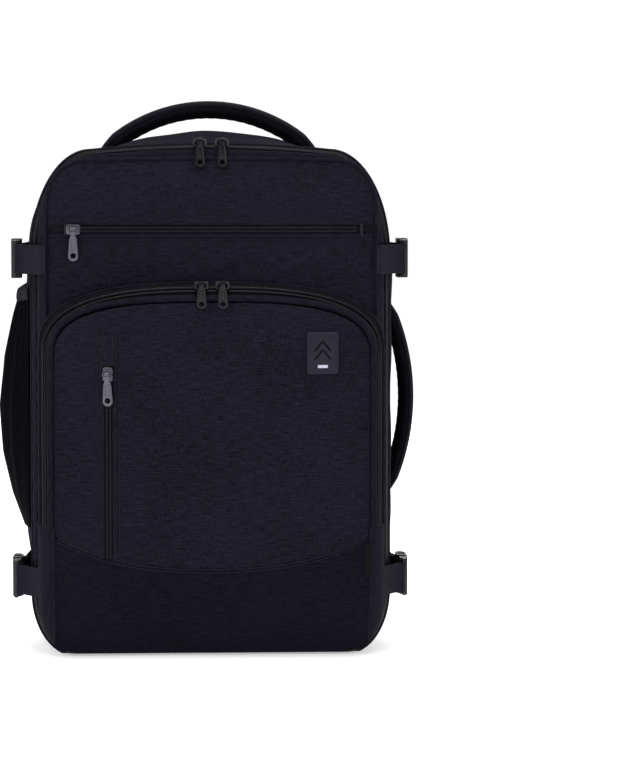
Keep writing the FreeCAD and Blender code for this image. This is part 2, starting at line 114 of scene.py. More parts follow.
def wire(tree, kind, sockets=None, **settings):
    """Adds a node; sockets maps an input's name or number to a value or to another node's output."""
    made = tree.nodes.new(kind)
    for key, value in settings.items():
        setattr(made, key, value)
    for key, value in (sockets or {}).items():
        if isinstance(value, bpy.types.NodeSocket):
            tree.links.new(value, made.inputs[key])
        else:
            made.inputs[key].default_value = value
    return made


def sums(tree, operation, *values):
    """The output of a Math node over the values."""
    return wire(tree, "ShaderNodeMath", dict(enumerate(values)), operation=operation).outputs[0]


def shader_of(name, rough, finish):
    """New material; finish gives constants for the shader's own sockets."""
    material = bpy.data.materials.new(name)
    material.use_nodes = True
    tree = material.node_tree
    shader = tree.nodes["Principled BSDF"]
    shader.inputs["Roughness"].default_value = rough
    for key, value in finish.items():
        shader.inputs[key].default_value = value
    return material, tree, shader


def tone(tree, colour, factor, low, high):
    """Colour scaled between low and high by a factor from 0 to 1."""
    dark, light = [tuple(c * k for c in colour) + (1,) for k in (low, high)]
    mix = wire(tree, "ShaderNodeMix", {"Factor": factor, "A": dark, "B": light}, data_type="RGBA")
    mix.inputs[6].default_value, mix.inputs[7].default_value = dark, light
    return mix.outputs[2]


def woven(name, colour, pitch, relief, kind="plain", streak=(90, 1000), contrast=0.38, rough=0.85, **finish):
    """Cloth whose threads stand up as sin(u) sin(v) (plain), as ribs along u (rib) or as a twill (twill)."""
    finish = {"Sheen Weight": 0.01, "Sheen Roughness": 0.4, "Specular IOR Level": 0.03} | finish
    material, tree, shader = shader_of(name, rough, finish)
    uv = wire(tree, "ShaderNodeUVMap", uv_map="metres").outputs[0]
    parts = wire(tree, "ShaderNodeSeparateXYZ", {0: uv})
    turn = 2 * math.pi / pitch
    u, v = [sums(tree, "MULTIPLY", parts.outputs[i], turn) for i in (0, 1)]
    if kind == "plain":
        thread = sums(tree, "MULTIPLY", sums(tree, "SINE", u, 0), sums(tree, "SINE", v, 0))
    elif kind == "twill":
        thread = sums(tree, "SINE", sums(tree, "ADD", u, v), 0)
    else:
        across = sums(tree, "SINE", sums(tree, "MULTIPLY", v, 0.5), 0)
        thread = sums(tree, "ADD", sums(tree, "SINE", u, 0), sums(tree, "MULTIPLY", across, 0.35))
    stretched = wire(tree, "ShaderNodeMapping", {"Vector": uv, "Scale": (streak[0], streak[1], 1)})
    grain = wire(tree, "ShaderNodeTexNoise", {"Vector": stretched.outputs[0], "Scale": 1, "Detail": 3})
    crossed = wire(tree, "ShaderNodeMapping", {"Vector": uv, "Scale": (streak[1], 2 * streak[0], 1)})
    warp = wire(tree, "ShaderNodeTexNoise", {"Vector": crossed.outputs[0], "Scale": 1, "Detail": 2})
    place = wire(tree, "ShaderNodeTexCoord").outputs["Object"]
    cloud = wire(tree, "ShaderNodeTexNoise", {"Vector": place, "Scale": 14, "Detail": 4})
    fibres = sums(
        tree, "ADD", sums(tree, "MULTIPLY", grain.outputs[0], 0.6), sums(tree, "MULTIPLY", warp.outputs[0], 0.4)
    )
    shade = sums(tree, "ADD", sums(tree, "MULTIPLY", fibres, 0.84), sums(tree, "MULTIPLY", cloud.outputs[0], 0.16))
    deep = wire(tree, "ShaderNodeMapRange", {0: shade, 1: 0.27, 2: 0.73, 3: -0.05, 4: 1.05}).outputs[0]
    lit = sums(tree, "ADD", deep, sums(tree, "MULTIPLY", thread, 0.12))
    tree.links.new(tone(tree, colour, lit, 1 - 2.5 * contrast, 1 + 2.5 * contrast), shader.inputs["Base Color"])
    worn = wire(
        tree, "ShaderNodeMapRange", {0: cloud.outputs[0], 1: 0.3, 2: 0.7, 3: rough - 0.07, 4: min(rough + 0.08, 1)}
    )
    tree.links.new(worn.outputs[0], shader.inputs["Roughness"])
    height = sums(tree, "ADD", sums(tree, "MULTIPLY", thread, 0.5), sums(tree, "MULTIPLY", fibres, 1.1))
    bump = wire(tree, "ShaderNodeBump", {"Strength": 0.7, "Distance": relief, "Height": height})
    tree.links.new(bump.outputs[0], shader.inputs["Normal"])
    return material


NAVY = (0.0077, 0.0068, 0.0122)
navy_cloth = woven("navy_cloth", NAVY, 0.0011, 0.00022)
foot_cloth = woven("foot_cloth", (0.0050, 0.0046, 0.0085), 0.0011, 0.00022)
# The sides, bands and gussets take the navy cloth coloured darker: painted shade for the faces that turn away from the
# front.
painted_shade_side_cloth = woven("painted_shade_side_cloth", (0.0060, 0.0055, 0.0098), 0.0011, 0.00022)
binding_cloth = woven("binding_cloth", (0.0075, 0.0069, 0.0112), 0.0014, 0.0003, kind="twill")


def unit(v):
    """Vectors divided by their lengths."""
    return v / np.maximum(np.linalg.norm(v, axis=-1, keepdims=True), 1e-12)


def leaning(points):
    """Unit normals of a grid of points: the cross product of its two differences."""
    return unit(np.cross(np.gradient(points, axis=0), np.gradient(points, axis=1)))


def folds(points, seed, length, high, count=14):
    """Soft folds: a sum of sines with seeded directions and phases, of about that wave length and height."""
    draw = np.random.default_rng(seed)
    waves = unit(draw.normal(size=(count, 3))) * (2 * math.pi / length) * draw.uniform(0.6, 1.8, (count, 1))
    phase = draw.uniform(0, 2 * math.pi, count)
    return high * np.sin(points @ waves.T + phase).sum(-1) / math.sqrt(count)


def piece(name, points, faces, material, body, uv=None, smooth=True):
    """A mesh object from arrays, with its UV map in metres, riding on a body."""
    mesh = bpy.data.meshes.new(name)
    mesh.from_pydata(
        np.asarray(points, float).reshape(-1, 3).tolist(), [], faces if isinstance(faces, list) else faces.tolist()
    )
    if uv is not None:
        layer = mesh.uv_layers.new(name="metres")
        corners = np.empty(len(mesh.loops), np.int32)
        mesh.loops.foreach_get("vertex_index", corners)
        flat = np.asarray(uv, float).reshape(-1, 2)
        layer.data.foreach_set("uv", flat[corners].astype(np.float32).ravel())
    mesh.polygons.foreach_set("use_smooth", np.full(len(mesh.polygons), smooth))
    mesh.materials.append(material)
    made = bpy.data.objects.new(name, mesh)
    scene.collection.objects.link(made)
    if body:
        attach(made, body)
    return made


def cells(rows, columns, ring=False):
    """Quads of a grid, joined round its first direction if ring is true."""
    i = np.arange(rows if ring else rows - 1)[:, None]
    j = np.arange(columns - 1)[None, :]
    a, b = i * columns + j, (i + 1) % rows * columns + j
    return np.stack([a, b, b + 1, a + 1], -1).reshape(-1, 4)


MIDDLE = np.array((0.0, -0.01, 0.22))
BEHIND, BEFORE = np.array((0, 1.0, 0.2)), np.array((0, -1.0, 0.2))  # sheets face away from one of these


def skin(name, grid, material, body, ring=False, facing=1, middle=MIDDLE, thick=0.0012, slot=None, uv=None):
    """A sheet of cloth over a grid of points, facing away from the middle, with a thickness behind its face.

    Its UV map is the distance along the grid's two directions, in metres."""
    rows, columns = grid.shape[:2]
    faces = cells(rows, columns, ring)
    corner = grid.reshape(-1, 3)[faces]
    normal = np.cross(corner[:, 2] - corner[:, 0], corner[:, 3] - corner[:, 1])
    away = corner.mean(1) - middle
    if (normal * away).sum() * facing < 0:
        faces = faces[:, ::-1]
    if uv is None:
        step_u = np.linalg.norm(np.diff(grid, axis=0), axis=-1).mean(1)
        step_v = np.linalg.norm(np.diff(grid, axis=1), axis=-1).mean(0)
        along, over = np.r_[0, np.cumsum(step_u)], np.r_[0, np.cumsum(step_v)]
        uv = np.stack(np.meshgrid(along, over, indexing="ij"), -1)
    made = piece(name, grid, faces, material, body, uv)
    if thick:
        wall = made.modifiers.new("thickness", "SOLIDIFY")
        wall.thickness, wall.offset = thick, -1
    return made


def panel(name, x, y, z, material, body, middle=BEHIND, slot="navy_cloth", **more):
    """A sheet standing across the bag, with x and z for its UV map."""
    return skin(
        name, np.stack([x, y, z], -1), material, body, middle=middle, uv=np.stack([x, z], -1), slot=slot, **more
    )


# ---------------------------------------------------------------- main body
# One stuffed shell of foam-backed cloth: base, sides and top, sewn edge to edge and drawn in at both zips.
# It bulges between the seams and stands on a flat base. Seams and slack cloth ripple a little.

SEAM_HALF, EDGE_TOP, SEAM_RISE = 0.152, 0.4315, 0.0055
BODY_FRONT, BODY_REAR = -0.088, 0.062
CORNER_LOW, CORNER_HIGH = 0.036, 0.050


def loop(u, half, low, high, r_low, r_high, rise=0.001, tall=(1.5, 1.8)):
    """x and z of a closed outline: u runs once round from the middle of the base by the +X side.

    Straight base, quarter of an ellipse, upright side, quarter of an ellipse, and a top that rises in the middle.
    tall gives the ellipses' height over their width."""
    t = 1 - np.abs(1 - 2 * u)
    ends = (0, 0.17, 0.26, 0.69, 0.85, 1)
    k = [np.clip((t - a) / (b - a), 0, 1) for a, b in zip(ends, ends[1:])]
    low_turn, high_turn = k[1] * math.pi / 2, k[3] * math.pi / 2
    x = (half - r_low) * k[0] + r_low * np.sin(low_turn) - r_high * (1 - np.cos(high_turn)) - (half - r_high) * k[4]
    up_low, up_high = tall[0] * r_low, tall[1] * r_high
    z = low + up_low * (1 - np.cos(low_turn)) + (high - up_high - low - up_low) * k[2] + up_high * np.sin(high_turn)
    return np.where(u < 0.5, x, -x), z + rise * (1 - (1 - k[4]) ** 2)


def swell(y):
    """0 at the two seams and 1 halfway between them."""
    middle, reach = (BODY_FRONT + BODY_REAR) / 2, (BODY_REAR - BODY_FRONT) / 2
    return 1 - ((y - middle) / reach) ** 2


def body_grid(around, deep, inset=0.0):
    """The body's surface: outlines that widen and rise with swell(y)."""
    u = np.linspace(0, 1, around, endpoint=False)[:, None]
    y = np.linspace(BODY_FRONT, BODY_REAR, deep)[None, :]
    s = swell(y)
    r_low, r_high = CORNER_LOW - 0.5 * inset, CORNER_HIGH + 0.008 * s - 0.5 * inset
    x, z = loop(u, SEAM_HALF - inset, inset, EDGE_TOP - inset + 0 * s, r_low, r_high, SEAM_RISE + 0.0135 * s)
    fuller = np.clip((z - 0.03) / 0.09, 0, 1)
    x = x * (1 + 0.008 * s * fuller**2 * (3 - 2 * fuller) / SEAM_HALF)
    return np.stack([x, np.broadcast_to(y, x.shape), z], -1)


def ripple(along, away, pitch=0.012, high=0.0004, reach=0.011):
    """Puckers beside a seam: waves along it that die out with distance from it."""
    return high * np.exp(-away / reach) * np.sin(2 * math.pi * along / pitch + 2.2 * np.sin(along * 61.0))


grid = body_grid(500, 56)
run = np.linspace(0, 1.48, 500, endpoint=False)[:, None]
edge = np.minimum(grid[..., 1] - BODY_FRONT, BODY_REAR - grid[..., 1])
soft = np.clip(edge / 0.02, 0, 1) * np.clip(grid[..., 2] / 0.04, 0, 1)
lift = folds(grid, 3, 0.09, 0.0009) * soft + ripple(run, edge) * np.clip(grid[..., 2] / 0.03, 0, 1)
side_seams = np.exp(-(((np.abs(grid[..., 0]) - 0.118) / 0.0022) ** 2)) * (grid[..., 2] > 0.3)
grid = grid + leaning(grid) * (-(lift - 0.0011 * side_seams))[..., None]
grid[..., 2] = np.maximum(grid[..., 2], 0.0)
# The shell's cloth is the navy cloth made darker as painted shade.
body_shell = skin("body_shell", grid, painted_shade_side_cloth, "bag_body", ring=True, slot="navy_cloth")
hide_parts("base_panel", "gusset_top", "gusset_left", "gusset_right")

# ---------------------------------------------------------------- lining
# Light grey-lavender taffeta, slack and creased, sewn in at the zips.
# A pale binding covers its seam allowance. The divider is the same cloth, with the laptop's wall behind it.

LINING = (0.270, 0.272, 0.400)
lining_cloth = woven(
    "lining_cloth", LINING, 0.0012, 0.00012, streak=(500, 500), contrast=0.05, rough=0.52, **{
        "Sheen Weight": 0.2, "Specular IOR Level": 0.4
    }
)
grid = body_grid(460, 48, inset=0.0042)
edge = np.minimum(grid[..., 1] - BODY_FRONT, BODY_REAR - grid[..., 1])
slack = folds(grid, 11, 0.07, 0.0022) + folds(grid, 12, 0.03, 0.0009)
inward = unit((np.array((0, 0, 0.22)) - grid) * (1, 0, 1))
grid = grid + inward * (np.abs(slack) * np.clip(edge / 0.02, 0, 1))[..., None]
skin("body_lining", grid, lining_cloth, "bag_body", ring=True, facing=-1, thick=0, slot="lining")


def spread(half, low, high, r_low, r_high, across, up, rise=0.0055, tall=(1.9, 1.8)):
    """Grid over the inside of an outline: columns at even turns of the sine, each from the lower to the upper edge."""
    a = np.sin(np.linspace(-math.pi / 2, math.pi / 2, across))
    a = np.sign(a) * np.abs(a) * 0.45 + 0.55 * np.linspace(-1, 1, across)
    x = (half * a)[:, None]

    def drop(r, height):
        """How far an edge falls away at a corner: a quarter of an ellipse."""
        over = np.maximum(np.abs(x) - (half - r), 0) / r
        return height * r * (1 - np.sqrt(np.maximum(1 - over * over, 0)))

    top = high - drop(r_high, tall[1]) + rise * np.clip(1 - (x / (half - r_high)) ** 2, 0, 1)
    foot = low + drop(r_low, tall[0])
    b = np.linspace(0, 1, up)[None, :]
    z = foot + (top - foot) * b
    return x + 0 * z, z


x, z = spread(0.1485, 0.0035, EDGE_TOP - 0.0035, 0.026, 0.048, 110, 140)
rim_in = np.minimum(np.minimum(0.1485 - np.abs(x), z), EDGE_TOP - z)
points = np.stack([x, 0 * x, z], -1)
y = 0.0605 - np.minimum(np.abs(folds(points, 21, 0.085, 0.0011)), 0.0030) * np.clip(rim_in / 0.03, 0, 1)
divider = skin("divider_lining", np.stack([x, y, z], -1), lining_cloth, "bag_body", middle=BEHIND, slot="lining")
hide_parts("divider_panel")
x, z = spread(0.1480, 0.0040, EDGE_TOP - 0.0040, 0.026, 0.048, 60, 80)
skin(
    "laptop_wall", np.stack([x, 0.0645 + 0 * x, z], -1), lining_cloth, "bag_body", middle=BEFORE, slot="lining"
)

# ---------------------------------------------------------------- main zip
# A coil zip on woven tape runs round the edge of the front half. Each half of it stays with its own side.
# The coil's teeth are nylon, a little paler and glossier than the tape.

tape_cloth = woven("zip_tape", (0.0050, 0.0047, 0.0062), 0.0009, 0.0002, kind="twill", rough=0.8)


def speckled(name, colour, rough, finish, noise, shades, relief=0.0, wear=None, worn=None):
    """A plain material with spots: a noise varies its colour between two shades and raises its surface by relief.

    noise is scale and detail; wear is a broader noise for the colour; worn is the range of roughness it gives."""
    material, tree, shader = shader_of(name, rough, finish)
    place = wire(tree, "ShaderNodeTexCoord").outputs["Object"]
    made = [
        wire(tree, "ShaderNodeTexNoise", {"Vector": place, "Scale": scale, "Detail": detail}).outputs[0]
        for scale, detail in ((noise, wear) if wear else (noise,))
    ]
    fine, broad = made[0], made[-1]
    tree.links.new(tone(tree, colour, broad, *shades), shader.inputs["Base Color"])
    if worn:
        patchy = wire(tree, "ShaderNodeMapRange", {0: broad, 1: 0.3, 2: 0.7, 3: worn[0], 4: worn[1]})
        tree.links.new(patchy.outputs[0], shader.inputs["Roughness"])
    if relief:
        bump = wire(tree, "ShaderNodeBump", {"Strength": relief, "Distance": 0.0001, "Height": fine})
        tree.links.new(bump.outputs[0], shader.inputs["Normal"])
    return material


coil_nylon = speckled(
    "coil_nylon", (0.0095, 0.0091, 0.0120), 0.38, {"Specular IOR Level": 0.3}, (90, 2), (0.7, 1.3), 0.3
)

# x along, y across, z up: a low rounded block, with its far end narrower, of unit size
TOOTH = np.array(
    [
        [-0.5, -0.5, 0], [0.5, -0.5, 0], [0.5, 0.5, 0], [-0.5, 0.5, 0],
        [-0.5, -0.5, 0.55], [0.5, -0.5, 0.55], [0.5, 0.5, 0.55], [-0.5, 0.5, 0.55],
        [-0.26, -0.36, 1], [0.26, -0.36, 1], [0.26, 0.36, 1], [-0.26, 0.36, 1],
    ]
)
TOOTH_FACES = np.array(
    [
        [0, 1, 5, 4], [1, 2, 6, 5], [2, 3, 7, 6], [3, 0, 4, 7],
        [4, 5, 9, 8], [5, 6, 10, 9], [6, 7, 11, 10], [7, 4, 8, 11], [8, 9, 10, 11], [3, 2, 1, 0],
    ]
)


def travelled(path):
    """Distance along a path at each of its points."""
    return np.r_[0, np.cumsum(np.linalg.norm(np.diff(path, axis=0), axis=1))]


def evenly(path, pitch, closed=False, start=0.0):
    """Points an equal distance apart along a path, with the path's direction at each."""
    if closed:
        path = np.vstack([path, path[:1]])
    run = travelled(path)
    count = max(int(round((run[-1] - start) / pitch)), 2)
    at = start + (run[-1] - start) * (np.arange(count) + 0.5 * (not closed)) / count
    points = np.stack([np.interp(at, run, path[:, i]) for i in range(3)], 1)
    ahead = np.stack([np.interp(np.minimum(at + 0.0005, run[-1]), run, path[:, i]) for i in range(3)], 1)
    behind = np.stack([np.interp(np.maximum(at - 0.0005, 0), run, path[:, i]) for i in range(3)], 1)
    return points, unit(ahead - behind)


def studs(name, points, along, up, size, material, body):
    """Small blocks at the points: block x along, y across, z up, scaled by size."""
    along, up = [np.broadcast_to(np.asarray(way, float), points.shape) for way in (along, up)]
    across = unit(np.cross(up, along))
    axes = (along, across, unit(np.cross(along, across)))
    block = TOOTH * np.array(size)
    at = sum((block[None, :, k : k + 1] * axis[:, None] for k, axis in enumerate(axes)), points[:, None])
    faces = TOOTH_FACES[None] + len(TOOTH) * np.arange(len(points))[:, None, None]
    no_uv = np.zeros((at.shape[0] * at.shape[1], 2))
    return piece(name, at, faces.reshape(-1, 4), material, body, no_uv, smooth=False)


TOOTH_PITCH, TOOTH_SIZE = 0.0016, (0.0010, 0.0020, 0.0014)


def coil(name, points, along, up, body, size=TOOTH_SIZE):
    """Zip teeth: one block at each point."""
    return studs(name, points, along, up, size, coil_nylon, body)


def tube(name, rings, run, over, material, body, closed=False):
    """A closed skin through a row of rings of points, with flat ends unless its ends meet.

    Its UV map is the distance along the row by the distance round the ring."""
    n, m = rings.shape[:2]
    i, j = np.arange(n if closed else n - 1)[:, None], np.arange(m)[None, :]
    a, b = i * m + j, (i + 1) % n * m + j
    a2, b2 = i * m + (j + 1) % m, (i + 1) % n * m + (j + 1) % m
    faces = np.stack([a, a2, b2, b], -1).reshape(-1, 4).tolist()
    if not closed:
        faces += [list(range(m))[::-1], [(n - 1) * m + k for k in range(m)]]
    uv = np.stack(np.broadcast_arrays(run[:, None], over[None]), -1)
    made = piece(name, rings, faces, material, body, uv)
    check = bmesh.new()
    check.from_mesh(made.data)
    bmesh.ops.recalc_face_normals(check, faces=check.faces)
    check.to_mesh(made.data)
    check.free()
    return made


def rope(name, path, radius, material, body, closed=False, sides=8, squeeze=1.0, up=None, tufts=0.0):
    """A round cord along a path: a circle carried in the plane across it. squeeze flattens it along up."""
    path = np.asarray(path, float)
    if closed:
        ahead = np.roll(path, -1, 0) - np.roll(path, 1, 0)
    else:
        ahead = np.gradient(path, axis=0)
    ahead = unit(ahead)
    hint = np.broadcast_to(np.array((0, -1.0, 0)) if up is None else np.asarray(up, float), path.shape)
    across = unit(np.cross(hint, ahead))
    normal = np.cross(ahead, across)
    turn = np.linspace(0, 2 * math.pi, sides, endpoint=False)
    run = travelled(path)
    r = radius * (1 + tufts * np.sin(run * 2 * math.pi / 0.0042))[:, None, None]
    grid = path[:, None] + r * (
        np.cos(turn)[None, :, None] * across[:, None] + squeeze * np.sin(turn)[None, :, None] * normal[:, None]
    )
    return tube(name, grid, run, turn * radius, material, body, closed)


def ring(y, drop, u):
    """The body's seam outline at depth y, drawn in by drop on every side."""
    shape = np.broadcast_arrays(u, y, drop)
    u, y, drop = shape
    x, z = loop(
        u, SEAM_HALF - drop, drop, EDGE_TOP - drop, CORNER_LOW - 0.5 * drop, CORNER_HIGH - 0.5 * drop, SEAM_RISE
    )
    return np.stack([x, y, z], -1)


def ring_path(y, drop, count=900):
    """Points evenly round the seam outline at depth y."""
    return ring(y, drop, np.linspace(0, 1, count, endpoint=False))


def tape(name, y_ends, drop_ends, body, replaced=None):
    """Half of a zip's tape round the bag: a strip between two depths, sloping in from one drop to the other."""
    u = np.linspace(0, 1, 600, endpoint=False)[:, None]
    v = np.linspace(0, 1, 6)[None, :]
    grid = ring(y_ends[0] + (y_ends[1] - y_ends[0]) * v, drop_ends[0] + (drop_ends[1] - drop_ends[0]) * v, u)
    made = skin(name, grid, tape_cloth, body, ring=True, thick=0.0008, slot="zip_tape")
    if replaced:
        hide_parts(replaced)
    return made


def row_of_teeth(name, y, drop, body, shift, lean=0.0, gap=None):
    """A row of coil teeth on the edge of a tape. gap, two heights and a side, leaves out the part by a hinge."""
    points, along = evenly(ring_path(y, drop), TOOTH_PITCH, closed=True, start=shift)
    up = unit(np.stack([along[:, 2], 0 * along[:, 0] - lean, -along[:, 0]], 1))
    if gap is not None:
        keep = ~((points[:, 0] * gap[2] > 0.14) & (points[:, 2] > gap[0]) & (points[:, 2] < gap[1]))
        points, along, up = points[keep], along[keep], up[keep]
    return coil(name, points, along, up, body)


HINGE_LOW, HINGE_HIGH = 0.085, 0.345
TAPE_DROP = 0.0040
tape("main_tape_rear", (-0.0880, -0.0918), (-0.0004, 0.0016), "bag_body", "main_zip_rear_tape")
tape("main_tape_front", (-0.0960, -0.0922), (TAPE_DROP, 0.0018), "front_lid", "main_zip_front_tape")
row_of_teeth("main_teeth_rear", -0.0908, 0.0009, "bag_body", 0.0, 0.5, (HINGE_LOW, HINGE_HIGH, -1))
row_of_teeth("main_teeth_front", -0.0934, 0.0021, "front_lid", 0.0008, 0.5, (HINGE_LOW, HINGE_HIGH, -1))

# piping over the seam behind the zip
path = ring_path(-0.0868, -0.0010)
path[:, 2] = np.maximum(path[:, 2], 0.0019)
rope("body_piping_front", path, 0.0019, binding_cloth, "bag_body", closed=True, tufts=0.02)

# ---------------------------------------------------------------- cloth hinge of the front half
# Down the bottle-pocket side the zip stops, and a strip of doubled cloth joins the front half to the body.
# It bows out a little along its middle and rides on neither half.

z = np.linspace(HINGE_LOW - 0.004, HINGE_HIGH + 0.004, 120)[:, None]
v = np.linspace(0, 1, 14)[None, :]
y = -0.0875 - 0.0090 * v
x = -(SEAM_HALF + 0.0012 - 0.0042 * v + 0.0012 * np.sin(math.pi * v)) + 0 * z + ripple(z, 0 * v, 0.016, 0.0003)
grid = np.stack([x, y + 0 * z, z + 0 * y], -1)
hinge_strip = skin("hinge_strip", grid, binding_cloth, None, thick=0.0009, slot="navy_cloth")
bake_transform(hinge_strip)

# ---------------------------------------------------------------- front half
# A shallow padded box: a band of cloth from the zip to the piping, and a face that slopes back at its top.
# Both are foam-backed. The face is slack between its seams and puckers beside them.

FACE = -0.122
LID_HALF, LID_LOW, LID_HIGH, LID_R_LOW, LID_R_HIGH, LID_RISE = 0.1405, 0.012, 0.4245, 0.026, 0.032, 0.0015
LID_TALL = (1.3, 1.25)


def lid_depth(x, z):
    """Depth of the front half's face: flat in the middle, sloping back at the top and foot, rounded at the sides."""
    slope = np.interp(
        z, (0.012, 0.022, 0.034, 0.050, 0.372, 0.390, 0.404, 0.417, 0.4275),
        (-0.108, -0.1150, -0.1200, FACE, FACE, -0.1193, -0.1155, -0.1098, -0.1038)
    )
    return slope + 0.0042 * np.exp(-(((LID_HALF - np.abs(x)) / 0.0065) ** 2))


u = np.linspace(0, 1, 620, endpoint=False)[:, None]
v = np.linspace(0, 1, 14)[None, :]
rear_edge = ring(-0.0958 + 0 * u, TAPE_DROP - 0.0003 + 0 * u, u)
x0, z0 = rear_edge[..., 0], rear_edge[..., 2]
x1, z1 = loop(u, LID_HALF, LID_LOW, LID_HIGH, LID_R_LOW, LID_R_HIGH, LID_RISE, LID_TALL)
y1 = lid_depth(x1, z1)
grid = np.stack([x0 + (x1 - x0) * v, -0.0958 + (y1 + 0.0958) * v, z0 + (z1 - z0) * v], -1)
run = np.linspace(0, 1.45, 620, endpoint=False)[:, None]
bulge = 0.0030 * np.sin(math.pi * v) + ripple(run, 0.02 * v, 0.013, 0.0004, 0.02)
out = unit(np.stack([x0, np.full_like(x0, -0.06), z0 - 0.22], -1))
grid = grid + out * (bulge + folds(grid, 31, 0.05, 0.0005) * np.sin(math.pi * v))[..., None]
grid[..., 2] = np.maximum(grid[..., 2], 0.0008)
lid_band = skin("front_half_band", grid, painted_shade_side_cloth, "front_lid", ring=True, slot="navy_cloth")
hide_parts("lid_gusset")


def face_wave(x, z):
    """How far slack cloth stands off the face: soft folds, less beside the edges and the upper zip, and puckers."""
    rim_in = np.minimum(np.minimum(LID_HALF - np.abs(x), LID_HIGH - z), z - LID_LOW)
    points = np.stack([x, 0 * x, z], -1)
    wave = folds(points, 41, 0.11, 0.0014) + folds(points * (1, 1, 2.2), 42, 0.05, 0.0006)
    zip_away = np.clip(np.abs(z - 0.366) / 0.03, 0.12, 1)
    return (
        wave * np.clip(rim_in / 0.03, 0.05, 1) * zip_away + ripple(x, np.maximum(LID_HIGH - z, 0), 0.015, 0.0005, 0.012)
    )


x, z = spread(LID_HALF, LID_LOW, LID_HIGH, LID_R_LOW, LID_R_HIGH, 160, 220, LID_RISE, LID_TALL)
lid_face = panel("front_half_face", x, lid_depth(x, z) - face_wave(x, z), z, navy_cloth, "front_lid")
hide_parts("lid_front_panel")

rim_u = np.linspace(0, 1, 900, endpoint=False)
rim_x, rim_z = loop(rim_u, LID_HALF, LID_LOW, LID_HIGH, LID_R_LOW, LID_R_HIGH, LID_RISE, LID_TALL)
path = np.stack([rim_x, lid_depth(rim_x, rim_z) - 0.0002, rim_z], 1)
rope("front_half_piping", path, 0.0019, binding_cloth, "front_lid", closed=True, tufts=0.02)

# ---------------------------------------------------------------- stitching
# Black polyester thread in a lockstitch of about 3 mm, sunk a little into the cloth.
# Each stitch is a small block of its own, laid along the seam at an even pitch.

thread_finish = {"Sheen Weight": 0.05, "Specular IOR Level": 0.15}
thread = speckled("thread", (0.0060, 0.0056, 0.0080), 0.65, thread_finish, (400, 2), (0.6, 1.4), 0.5)


STITCH_PITCH, STITCH_SIZE = 0.0030, (0.0021, 0.0006, 0.00035)


def stitches(name, path, up, body):
    """A row of stitches along a path, each a small rounded block standing out of the cloth along up."""
    points, along = evenly(np.asarray(path, float), STITCH_PITCH)
    return studs(name, points, along, up, STITCH_SIZE, thread, body)


def on_face(x, z, proud=0.0002):
    """Points on the front half's face."""
    x, z = np.broadcast_arrays(np.asarray(x, float), np.asarray(z, float))
    return np.stack([x, lid_depth(x, z) - face_wave(x, z) - proud, z], -1)


# ---------------------------------------------------------------- top front pocket
# A long coil zip set between two folded edges of the face, top-stitched above and below, closed at both ends by a tack.

ZIP_Z = 0.3660


def flat_band(name, x, z_from, z_to, material, body, crown=0.0008, slot="navy_cloth", proud=0.0004):
    """A strip lying on the face between two heights, thicker along its middle by crown."""
    x = np.asarray(x)[:, None]
    v = np.linspace(0, 1, 9)[None, :]
    z = z_from + (z_to - z_from) * v + 0 * x
    x = x + 0 * z
    y = lid_depth(x, z) - face_wave(x, z) - proud - crown * (1 - (2 * v - 1) ** 4)
    return panel(name, x, y, z, material, body, thick=0.0008, slot=slot)


across = np.linspace(-0.1375, 0.1375, 240)
flat_band("top_zip_fold_upper", across, ZIP_Z + 0.0038, ZIP_Z + 0.0090, navy_cloth, "front_lid", 0.0011)
flat_band("top_zip_fold_lower", across, ZIP_Z - 0.0074, ZIP_Z - 0.0038, navy_cloth, "front_lid", 0.0011)
zip_bed = flat_band(
    "top_zip_tape", np.linspace(-0.1375, 0.1375, 200), ZIP_Z - 0.0046, ZIP_Z + 0.0046, tape_cloth, "front_lid", 0.0001,
    "zip_tape", 0.0004
)
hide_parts("top_pocket_zip")
for side, word in ((1, "upper"), (-1, "lower")):
    x = np.linspace(-0.1190, 0.1220, int(0.241 / TOOTH_PITCH)) + 0.0004 * side
    points = on_face(x, ZIP_Z + side * 0.0014, 0.0002)
    coil("top_zip_teeth_" + word, points, (1.0, 0, 0), (0, -1.0, 0), "front_lid")
    stitches(
        "top_zip_stitch_" + word, on_face(across, ZIP_Z + (0.0098 if side > 0 else -0.0085), 0.0002), (0, -1, 0),
        "front_lid"
    )
for x in (-0.1235, 0.1275):
    tack = np.linspace(ZIP_Z - 0.0050, ZIP_Z + 0.0050, 30)
    rope(
        f"top_zip_tack_{'left' if x < 0 else 'right'}", on_face(x, tack, 0.0014), 0.0011, thread, "front_lid",
        tufts=0.25
    )

# ---------------------------------------------------------------- front pocket
# A boxed-out arched pocket: a gusset rises from the face to the zip, and a domed flap of foam-backed cloth closes it.
# Below the fold the same front runs down under the bag, where a curved seam joins the darker foot panel.

FOLD, ARCH_POWER, ARCH_HIGH = 0.114, 2.7, 0.058
SIDE_Y = (-0.141, -0.1345, -0.128, -0.122, -0.110)
SIDE_HALF = (0.135, 0.1415, 0.1455, 0.1475, 0.1485)
SIDE_TOP = (0.305, 0.3155, 0.3205, 0.322, 0.323)  # at the arch's crest


def pocket_depth(x, z):
    """Depth of the pocket's front: the shallower of a dome seen from above and a long arc seen from the side."""
    dome = -0.161 + 0.530 - np.sqrt(0.530**2 - x**2)
    upper = 0.339 - np.sqrt(np.maximum(0.5**2 - (z - 0.183) ** 2, 0))
    toe = 0.0013 - np.sqrt(np.maximum(0.157**2 - (z - 0.118) ** 2, 0))
    side = np.where(z > 0.110, upper, toe)
    a, b, soft = dome, side, 0.0016
    return np.maximum(a, b) + soft * np.exp(-np.abs(a - b) / soft) * 0.6


def half_at(y):
    """The arch's half width at depth y, straight between the depths of its table."""
    return np.interp(y, SIDE_Y, SIDE_HALF)


